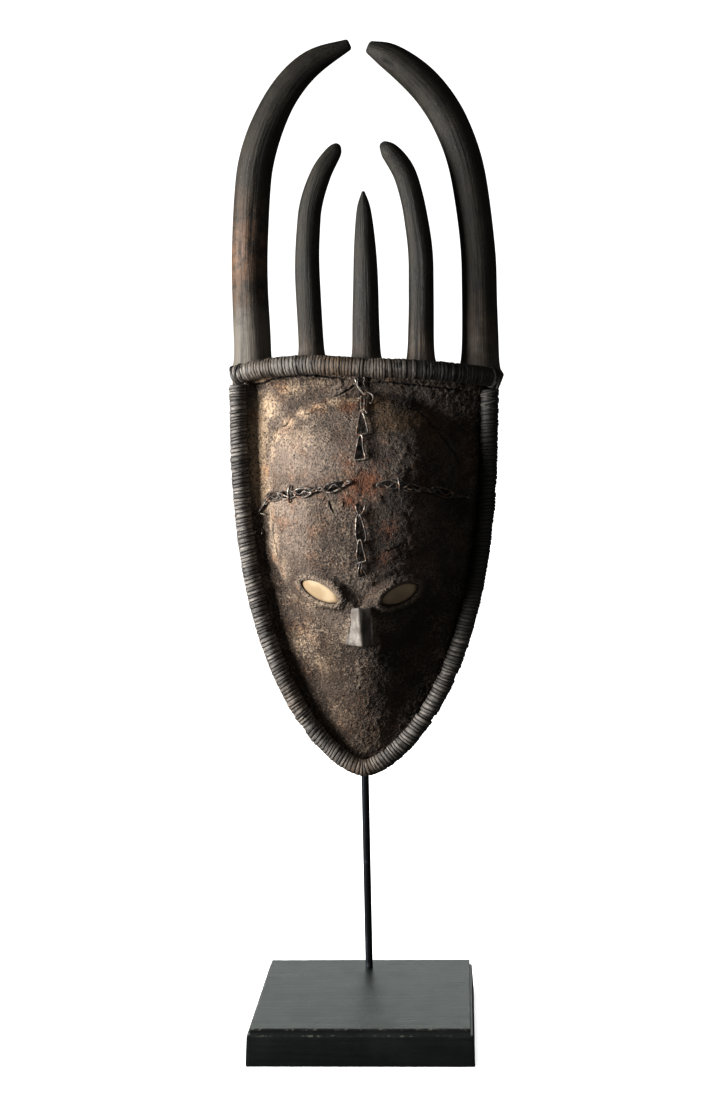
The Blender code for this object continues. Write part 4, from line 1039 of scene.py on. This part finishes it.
def wrapped(name, line, radius, laid, sides, nodes, warm_spots, ends, groove=1.0):
    rings = []
    for at, width, tone, rise, sway in laid:
        for share, drop, gap, crown in ACROSS:
            sunk = groove * drop + (rise if share > 0.0 else 0.0)
            rings.append((at + width * share, sunk, gap, crown, tone, sway))
    rings.append((line.length, -0.002, 0.6, 0.0, 0.5, 0.0))

    def point(vert, marks, ring, turn):
        distance, drop, gap, crown, tone, sway = rings[ring]
        distance_there = min(max(distance + sway * math.sin(turn), 0.0), line.length)
        middle, out = line.at(distance_there, turn)
        x, y = math.cos(turn) * radius, math.sin(turn) * radius
        lump = 0.00040 * noise.noise((x * 110.0, y * 110.0, distance * 60.0))
        lump += 0.00025 * noise.noise((x * 300.0, y * 300.0, ring // len(ACROSS) * 3.7))
        end = min(distance, line.length - distance)
        spread = radius - 0.0004 + drop + lump - ends * (1.0 - smooth(end / 0.003))
        vert[marks["grain"]] = (x, y, distance)
        # Painted shade: high on the right, away from the light, the windings are painted darker, their gaps
        # widened and their crowns dulled; crowns right of the middle are dulled too
        shaded = smooth((middle.x - 0.03) / 0.06) * smooth((middle.z - 0.33) / 0.1)
        vert[marks["tone"]] = tone * (1.0 - 0.9 * shaded)
        vert[marks["gap"]] = max(gap, 0.62 * shaded)
        worn = crown * (0.35 + 0.65 * tone) * (1.0 - 0.8 * shaded)
        vert[marks["crown"]] = worn * (1.0 - 0.35 * smooth(middle.x / 0.05))
        warm = max(most * hump(distance, where, half) for where, half, most in warm_spots)
        vert[marks["warm"]] = warm * (1.0 if crown > 0.5 else 0.4)
        vert.co = middle + out * spread

    part_from(tube(sides, len(rings) - 1, VINE_MARKS, point), name, nodes, vine, 75.0)


bar_points = []
for step in range(121):
    u = HALF_WIDTH * (BAR_LINE[0][0] + (BAR_LINE[-1][0] - BAR_LINE[0][0]) * step / 120)
    inside = max(-HALF_WIDTH, min(HALF_WIDTH, u))
    off = (BAR_RADIUS + 0.0006) * math.hypot(1.0, bow_turn(inside * 0.98))
    bar_points.append(MASK_FRAME @ Vector((u, RIM_FRONT - plan_bow(inside) - off, bar_height(u))))
bar_line = Line(bar_points)
chance = random.Random(7)
bar_windings = windings(bar_line.length, 0.0030, chance, lean=0.0004)
wrapped("wrapped_bar", bar_line, BAR_RADIUS, bar_windings, 32, ["top_binding"],
        [(0.03, 0.02, 0.35), (0.10, 0.02, 0.9), (0.14, 0.03, 0.35)], 0.0006, 0.6)

roll_points = []
for step in range(401):
    turn = -1.0 + 2.0 * step / 400
    side = math.copysign(1.0, turn)
    lowest = min(bar_height(side * ROLL_HALF - ROLL_RADIUS), bar_height(side * ROLL_HALF + ROLL_RADIUS))
    top = lowest - BAR_RADIUS + 0.0012
    v = ROLL_RADIUS + (top - ROLL_RADIUS) * abs(turn) ** 1.7
    roll_points.append((side * outline(v, ROLL_HALF, ROLL_RADIUS), v))
roll_placed = []
for index, (u, v) in enumerate(roll_points):
    before, after = roll_points[max(index - 1, 0)], roll_points[min(index + 1, 400)]
    run = Vector((after[0] - before[0], after[1] - before[1])).normalized()
    depth = 1.0
    for step in range(-8, 9):
        aside = ROLL_RADIUS * step / 8.0
        bulge = math.sqrt((ROLL_RADIUS + 0.0003) ** 2 - aside ** 2)
        depth = min(depth, front(u + run.y * aside, v - run.x * aside) - bulge)
    roll_placed.append(MASK_FRAME @ Vector((u, depth - 0.0006, v)))
roll_line = Line(roll_placed)
half_length = roll_line.length / 2
roll_windings = windings(roll_line.length, 0.0036, chance, (0.415, 0.60, 0.655), 0.0011)
wrapped("edge_roll", roll_line, ROLL_RADIUS, roll_windings, 28, ["edge_binding"],
        [(half_length, 0.016, 0.7), (half_length - 0.09, 0.02, 0.4)], 0.0005)


# Lashings: loose turns of the same split vine, tied over the roll's heads and the ends of the bar, and one
# knot halfway down the left side.
# Which line, where along it from its start or its end in metres, turns, lean in metres and thickness
LASHINGS = [("roll", -0.003, 1.1, 0.0018, 0.0024), ("roll", -0.0075, 1.1, -0.0014, 0.0022),
            ("roll", -0.012, 1.1, 0.0022, 0.0024), ("roll", -0.0165, 1.0, -0.0020, 0.0020),
            ("roll", 0.003, 1.1, 0.0016, 0.0020), ("roll", 0.0755, 0.8, 0.0022, 0.0016),
            ("roll", 0.0790, 0.8, -0.0016, 0.0016), ("bar", 0.0030, 1.0, 0.0030, 0.0022),
            ("bar", 0.0052, 1.0, -0.0032, 0.0022), ("bar", -0.0035, 1.0, 0.0026, 0.0026),
            ("bar", -0.0070, 1.0, -0.0028, 0.0024), ("bar", -0.0100, 1.0, 0.0024, 0.0022)]
CORD_RINGS = 60
for number, (which, where, turns, lean, thick) in enumerate(LASHINGS):
    line, radius = (roll_line, ROLL_RADIUS) if which == "roll" else (bar_line, BAR_RADIUS)
    where = where if where > 0.0 else line.length + where
    points = []
    for step in range(33):
        turn = 2.0 * math.pi * (turns * step / 32 - 0.5)
        distance = min(max(where + lean * math.sin(turn), 0.0002), line.length - 0.0002)
        middle, out = line.at(distance, turn)
        sunk = radius - thick / 2 + 0.0002 + 0.0002 * noise.noise((number * 3.1, step * 0.4, 0.0))
        points.append(middle + out * sunk)
    cord = Line(points)

    def cord_point(vert, marks, ring, turn):
        middle, out = cord.at(cord.length * ring / CORD_RINGS, turn)
        slim = 0.55 if ring in (0, CORD_RINGS) else 1.0
        spread = thick / 2 * slim * (1.0 + 0.18 * noise.noise(middle * 380.0))
        vert[marks["grain"]] = (math.cos(turn) * spread, math.sin(turn) * spread, middle.x + middle.z)
        vert[marks["tone"]] = 0.45
        vert[marks["crown"]] = 0.15 * max(math.cos(turn), 0.0)
        vert[marks["gap"]] = 0.25
        vert.co = middle + out * spread

    part_from(tube(8, CORD_RINGS, VINE_MARKS, cord_point), "lashing_%02d" % (number + 1),
              ["edge_binding" if which == "roll" else "top_binding"], vine, 75.0)


# Chains: long hand-bent links of thin wrought iron wire, hooked end to end, with a twisted neck here and
# there, tied down over the forehead in a cross and knotted to the bar. Dark and rusty, bright where they rub.
# Each wire is a line of marks in millimetres, u, v and how far it stands off the crust, then its share of
# the usual thickness. A closed link ends where it starts.
WIRE = 1.8
CHAIN_WIRES = {
    "chain_top": [
        ([(0, 318.9, 2.6), (-1.6, 317, 1.8), (-4.8, 299.6, 1.6), (-3.6, 297.9, 1.8), (3.6, 298.2, 2),
          (4.8, 300, 2.4), (2.6, 308, 2.6), (1.8, 317, 2.8), (0, 318.9, 2.6)], 1),
        ([(0.4, 338.4, 2.6), (-1.2, 336.6, 2.2), (-3.4, 321.6, 1.8), (-2.4, 319.8, 1.6), (5.4, 320.6, 1.7),
          (6.6, 322.4, 2), (4.8, 329.4, 2.6), (2.2, 336.8, 2.9), (0.4, 338.4, 2.6)], 1),
        ([(-0.6, 353.2, 2.4), (-0.3, 346, 2.6), (0.2, 339.6, 2.2)], 1.2),
        ([(2.5, 353.2, 2.4), (2.8, 346, 2.8), (2.7, 339.2, 2.4)], 1.2),
        ([(-1.4, 339.4, 1.6), (1, 340.4, 3.4), (4.2, 339.6, 3.2), (6.8, 338.8, 1.8), (5, 337.6, 1.5),
          (1.5, 338.6, 3.4), (-0.8, 340.6, 2)], 0.9),
        ([(5.4, 340.8, 1.8), (6.4, 338.6, 2.6), (4.6, 338.2, 3), (4, 340.4, 2.2)], 1),
        ([(-6, 371, 2.4), (-5, 366.8, 2.8), (-2.6, 361.6, 3.2), (0.2, 357, 3.4), (2.4, 353.4, 2.6)], 1.3),
        ([(-4.2, 371.4, 1.8), (-3.9, 366, 3.6), (-2.8, 362, 2), (-0.4, 358.6, 3.8), (1.8, 356.2, 2.2),
          (0, 352.6, 2.2)], 1),
        ([(-3, 370.4, 3.2), (-4.9, 365.2, 1.6), (-1.4, 361.6, 3.8), (-0.8, 357.4, 2), (2.6, 355.4, 3.4),
          (3.2, 351.6, 2)], 1),
        ([(0.6, 358, 2.6), (4.8, 356.4, 3.2), (8.4, 354, 3.4), (10.4, 351, 3), (9.6, 347.8, 2.2),
          (7.2, 346.8, 1.6)], 1),
        ([(-3.2, 351.4, 1.6), (-1, 350.6, 3), (2, 351.6, 3.2), (4.2, 353.8, 1.8)], 1),
        ([(1.6, 373, 1.8), (2.4, 369.8, 2.6), (1.4, 366.8, 2.2), (2.8, 363, 1.6)], 1),
        ([(-7.6, 369, 1.4), (-4.4, 371, 2.6), (-1, 369.4, 2.2), (1.8, 371.2, 1.6)], 0.9),
    ],
    "chain_bottom": [
        ([(-3.8, 257.6, 1.6), (-2.6, 253, 2.4), (-0.4, 249, 2.6), (1.6, 247.6, 2)], 1),
        ([(4.9, 258.2, 1.6), (3.4, 253.4, 2.4), (0.9, 249.4, 2), (-1.2, 247.4, 2.6)], 1),
        ([(-0.2, 250.4, 2.8), (-2.8, 247.6, 2), (-3.9, 234, 1.7), (-2.4, 226.2, 1.7), (1.6, 224.8, 1.8),
          (5.2, 227.6, 2.2), (5, 234, 2.8), (3.2, 241, 3), (1, 247.8, 3), (-0.2, 250.4, 2.8)], 1),
        ([(0, 227.8, 3), (-1.6, 225.4, 2.4), (-2.6, 218, 1.8), (-3.2, 213, 1.7), (-1.6, 208, 1.8),
          (3, 206.6, 2.2), (5, 209, 2.6), (4.2, 214, 2.8), (2.6, 220, 2.8), (1.6, 225.6, 2.8),
          (0, 227.8, 3)], 1),
        ([(-3, 205.6, 1.6), (0.6, 207.4, 3.2), (4.2, 208, 3.4), (6.2, 207, 2), (4.6, 205.6, 1.8),
          (1, 205.8, 3)], 1),
        ([(0.2, 208, 2.4), (-0.9, 203.6, 2.6), (-2, 198.6, 2.2), (-1.8, 193.6, 1.4)], 1),
        ([(1.2, 207.4, 2.6), (1.7, 203.4, 2.6), (3.2, 199.4, 2.2), (5.4, 195.8, 1.4)], 1),
        ([(2.6, 206, 2.6), (0.8, 201, 2.8), (1, 196.4, 1.6)], 0.8),
    ],
    "chain_left": [
        ([(-6.6, 278.9, 2.2), (-13.2, 280, 2.6), (-21.5, 278.6, 2.8), (-28.9, 276.2, 2.6),
          (-33.4, 272.8, 2.2), (-31.4, 269.9, 1.7), (-25, 269.4, 1.6), (-18.6, 272.2, 1.8),
          (-12.3, 276.2, 2), (-6.6, 278.9, 2.2)], 1),
        ([(-8.4, 277.2, 3), (-12, 277.6, 2.2), (-15.4, 280.4, 1.6)], 0.9),
        ([(-30, 274.8, 3.2), (-34.4, 270.8, 2), (-39.4, 272.4, 3.2), (-43.8, 269, 2), (-49.6, 270.4, 2.6)],
          1),
        ([(-30, 270.2, 1.8), (-34.4, 273.6, 3.2), (-39.6, 270, 1.8), (-44, 272.6, 3.2), (-51.6, 274, 1.8)],
          1),
        ([(-43, 271.9, 3), (-49.9, 272.4, 2.8), (-56, 271.3, 2.4), (-59, 268, 2.2), (-56, 265, 1.8),
          (-49, 264.8, 1.6), (-43.2, 268, 2.2), (-43, 271.9, 3)], 1),
        ([(-62.8, 275, 1.6), (-63.2, 270, 3.6), (-63.4, 264, 3.4), (-63.9, 258.8, 1.4)], 1.1),
        ([(-57.4, 268.6, 3), (-64.5, 270, 2.4), (-71, 269, 2.4), (-74, 265.8, 2.6), (-69.9, 262, 1.8),
          (-63.6, 262.9, 1.6), (-57.4, 265.8, 2.2), (-57.4, 268.6, 3)], 1),
        ([(-70.4, 266.4, 3), (-78.3, 268, 2.4), (-85.4, 265.9, 2.2), (-88.4, 262, 2.2), (-85.4, 258.6, 1.7),
          (-78.2, 259.6, 1.6), (-70.4, 263.2, 2.2), (-70.4, 266.4, 3)], 1),
        ([(-83, 262.6, 3), (-88, 258, 2.8), (-93, 252.4, 2.6), (-98.4, 246, 2.4), (-103, 240.4, 2.6)],
          1.05),
        ([(-84.6, 264.6, 2), (-89.6, 260.4, 1.6), (-92.6, 255, 1.8), (-97, 250.6, 1.4)], 0.9),
        ([(-105.6, 249.4, 2.4), (-101.4, 247.2, 1.8), (-96, 246.8, 1.4), (-89.6, 245.6, 1.2)], 0.9),
        ([(-94.9, 232.8, 1.2), (-93.8, 228.4, 2), (-96.8, 225.3, 2.4), (-100.4, 227, 2.2),
          (-100.6, 230.7, 1.2)], 0.9),
    ],
    "chain_right": [
        ([(14.6, 275.8, 2.2), (20.2, 279, 2.4), (27.5, 279.8, 2.6), (34.4, 276.9, 2.8), (33.2, 273.2, 1.9),
          (25.7, 272.2, 1.7), (19.5, 272.8, 1.8), (14.6, 275.8, 2.2)], 1),
        ([(33.5, 282.6, 1.5), (33.8, 278, 3.6), (34.4, 273.8, 3.4), (34.8, 270.4, 1.5)], 1.1),
        ([(33.2, 277.2, 3), (40.7, 277.2, 2.4), (49, 275, 2.4), (54.6, 271.3, 2.4), (49, 269.2, 1.8),
          (40.8, 270.6, 1.7), (33.2, 273.8, 2.2), (33.2, 277.2, 3)], 1),
        ([(51.6, 272.8, 3), (56.4, 269.8, 2), (61, 271.8, 3), (66.3, 269.3, 2)], 1),
        ([(51.8, 270.4, 1.8), (56.4, 272.4, 3), (61, 269.6, 1.8), (66.3, 271.2, 3)], 1),
        ([(61.6, 272.6, 2.8), (68.9, 272.4, 2.4), (77.2, 269.1, 2.2), (82, 264.6, 2.2), (76.3, 262.5, 1.7),
          (68, 265.4, 1.7), (61.6, 269.4, 2), (61.6, 272.6, 2.8)], 1),
        ([(78.6, 266.4, 2.8), (84, 264.2, 2.4), (90.4, 262.4, 2.2), (97.4, 260.6, 1.6)], 1),
        ([(79.6, 263.8, 1.8), (84.4, 262.2, 2.6), (89, 261.6, 1.4)], 0.85),
        ([(40, 274, 2.8), (44, 271.4, 3.4), (47.6, 274.2, 2.4)], 0.8),
    ],
}
iron = Finish("old_iron", (0.070, 0.062, 0.056, 1.0))
skin = iron.pitting(800.0)
rusted = iron.patches(170.0, 0.46, 0.60)
rubbed = iron.patches(260.0, 0.49, 0.62)
iron.coat((0.120, 0.058, 0.032, 1.0), rusted)
iron.coat((0.32, 0.285, 0.24, 1.0), rubbed)
iron.coat((0.020, 0.016, 0.014, 1.0), skin["Pits"])
bare = iron.reckon("SUBTRACT", rubbed, rusted)
iron.tree.links.new(iron.scaled(bare, -1.0, 1.0, 0.20, 0.70), iron.shader["Metallic"])
iron.end(iron.scaled(bare, -1.0, 1.0, 0.70, 0.42), skin["Height"], 0.0003)


def off_face(u, v, lift):
    # A place standing that far off the crusted face
    slope_u, slope_v = slopes(height, u, v, 0.003)
    normal = Vector((-slope_u, -1.0, -slope_v)).normalized()
    return Vector((u, front(u, v), v)) + normal * lift


def eased(points, steps):
    # A smooth curve through every point
    closed = (points[0] - points[-1]).length < 1e-6
    laid = []
    for index in range(len(points) - 1):
        before = points[index - 1] if index else (points[-2] if closed else points[0])
        after = points[index + 2] if index + 2 < len(points) else (points[1] if closed else points[-1])
        start, end = points[index], points[index + 1]
        for step in range(steps):
            t = step / steps
            lead, trail = (end - before) * 0.42, (after - start) * 0.42
            laid.append(start * (2 * t ** 3 - 3 * t ** 2 + 1) + lead * (t ** 3 - 2 * t ** 2 + t)
                        + end * (3 * t ** 2 - 2 * t ** 3) + trail * (t ** 3 - t ** 2))
    return laid + [points[-1]]


# A thinner strand threaded through the links of each side chain
THREADED = {"chain_left": [(-8, 278), (-20, 275), (-32, 272.4), (-44, 271), (-56, 268.6), (-68, 266),
                           (-80, 263), (-90, 256)],
            "chain_right": [(15, 275.6), (28, 276), (40, 274.4), (52, 272), (64, 270), (76, 266.4),
                            (84, 263.6)]}
SWING = ((0.0, 3.6), (2.1, 2.6), (0.0, 1.8), (-2.1, 2.6))
for name, track in THREADED.items():
    marks = []
    count = 4 * (len(track) - 1)
    for step in range(count + 1):
        low = min(step // 4, len(track) - 2)
        u, v = between(track[low], track[low + 1], step / 4 - low)
        aside, lift = SWING[step % 4]
        marks.append((u, v + aside, lift))
    CHAIN_WIRES[name].append((marks, 0.75))

for name, wires in CHAIN_WIRES.items():
    bm = bmesh.new()
    for marks, thickness in wires:
        places = [off_face(u / 1000.0, v / 1000.0, lift / 1000.0) for u, v, lift in marks]
        line = Line(eased(places, 7))
        rings = max(int(line.length / 0.0008), 10)
        radius = WIRE * thickness / 2000.0

        def wire_point(vert, marks, ring, turn):
            middle, out = line.at(line.length * ring / rings, turn)
            end = min(ring, rings - ring)
            worn = 1.0 + 0.16 * noise.noise(middle * 420.0) - (0.35 if end == 0 else 0.0)
            vert.co = middle + out * radius * worn

        piece = tube(9, rings, [], wire_point)
        bent = bpy.data.meshes.new("wire")
        piece.to_mesh(bent)
        piece.free()
        bm.from_mesh(bent)
        bpy.data.meshes.remove(bent)
    bmesh.ops.transform(bm, matrix=MASK_FRAME, verts=bm.verts)
    part_from(bm, name + "_wires", [name], iron, 80.0)


# Studio: a plain pale floor under a white surround, one broad soft light far to the left, a weak one
# from the room and one behind that shows in the lacquer. The camera stands a little to the right and above.
floor_mesh = bpy.data.meshes.new("floor")
bm = bmesh.new()
bmesh.ops.create_grid(bm, x_segments=1, y_segments=1, size=12.0)
bmesh.ops.translate(bm, verts=bm.verts, vec=(0.0, 0.0, -0.0002))
bm.to_mesh(floor_mesh)
bm.free()
floor = bpy.data.objects.new("floor", floor_mesh)
bpy.context.scene.collection.objects.link(floor)
paper = Finish("pale_paper", (0.86, 0.86, 0.86, 1.0))
paper.coat((0.88, 0.88, 0.88, 1.0), paper.noise(3.0))
paper.tree.links.new(paper.colour, paper.shader["Base Color"])
paper.shader["Roughness"].default_value = 0.9
floor_mesh.materials.append(paper.material)
# The floor has its own even light and throws none back, as a cut-out studio picture shows it
floor.visible_diffuse = False
floor.visible_glossy = False
floor_only = bpy.data.collections.new("floor_only")
floor_only.objects.link(floor)
overhead = bpy.data.lights.new("overhead", "SUN")
overhead.energy, overhead.angle = 4.3, math.radians(60.0)
overhead_lamp = bpy.data.objects.new("overhead", overhead)
overhead_lamp.light_linking.receiver_collection = floor_only
bpy.context.scene.collection.objects.link(overhead_lamp)


def soft_light(name, place, target, width, tall, watts, colour=(1.0, 1.0, 1.0), only=None):
    data = bpy.data.lights.new(name, "AREA")
    data.shape = "RECTANGLE"
    data.size, data.size_y, data.energy, data.color = width, tall, watts, colour
    lamp = bpy.data.objects.new(name, data)
    lamp.location = place
    lamp.rotation_euler = (Vector(target) - Vector(place)).to_track_quat("-Z", "Y").to_euler()
    lamp.visible_camera = False
    lamp.light_linking.receiver_collection = only
    bpy.context.scene.collection.objects.link(lamp)


base_only = bpy.data.collections.new("base_only")
base_only.objects.link(bpy.data.objects["base_block"])
base_only.objects.link(bpy.data.objects["rod"])
soft_light("window", (-1.42, -0.53, 0.70), (0.0, 0.0, 0.58), 0.6, 0.9, 72.0)
soft_light("room", (0.9, -2.0, 0.9), (0.0, 0.0, 0.5), 1.6, 1.6, 6.0, (1.0, 0.99, 0.97))
soft_light("backdrop_glow", (0.0, 2.2, 0.9), (0.0, 0.0, 0.2), 2.4, 1.4, 11.5, (0.94, 1.0, 0.97), base_only)

world = bpy.data.worlds.new("surround")
world.use_nodes = True
bpy.context.scene.world = world
sky = Nodes(world.node_tree)
seen = sky.put("LightPath").outputs["Is Camera Ray"]
backing = sky.tree.nodes["Background"].inputs
backing["Color"].default_value = (1.0, 1.0, 1.0, 1.0)
sky.tree.links.new(sky.scaled(seen, 0.0, 1.0, 0.04, 1.0), backing["Strength"])
bpy.context.scene.view_settings.view_transform = "Standard"
bpy.context.scene.view_settings.gamma = 0.84
bpy.context.scene.view_settings.exposure = 0.30

YAW, PITCH, ROLL = math.radians(3.52), math.radians(4.98), math.radians(-1.24)
ahead = Vector((-math.sin(YAW) * math.cos(PITCH), math.cos(YAW) * math.cos(PITCH), -math.sin(PITCH)))
level = Vector((math.cos(YAW), math.sin(YAW), 0.0))
upright = level.cross(ahead)
right = math.cos(ROLL) * level + math.sin(ROLL) * upright
up = -math.sin(ROLL) * level + math.cos(ROLL) * upright
lens = bpy.data.cameras.new("camera")
lens.sensor_width = 36.0
lens.lens = 36.0 * 1806.4 / 1100.0
camera = bpy.data.objects.new("camera", lens)
bpy.context.scene.collection.objects.link(camera)
facing = Matrix((right, up, -ahead)).transposed().to_4x4()
camera.matrix_world = Matrix.Translation((0.0989, -1.6171, 0.5821)) @ facing
bpy.context.scene.camera = camera
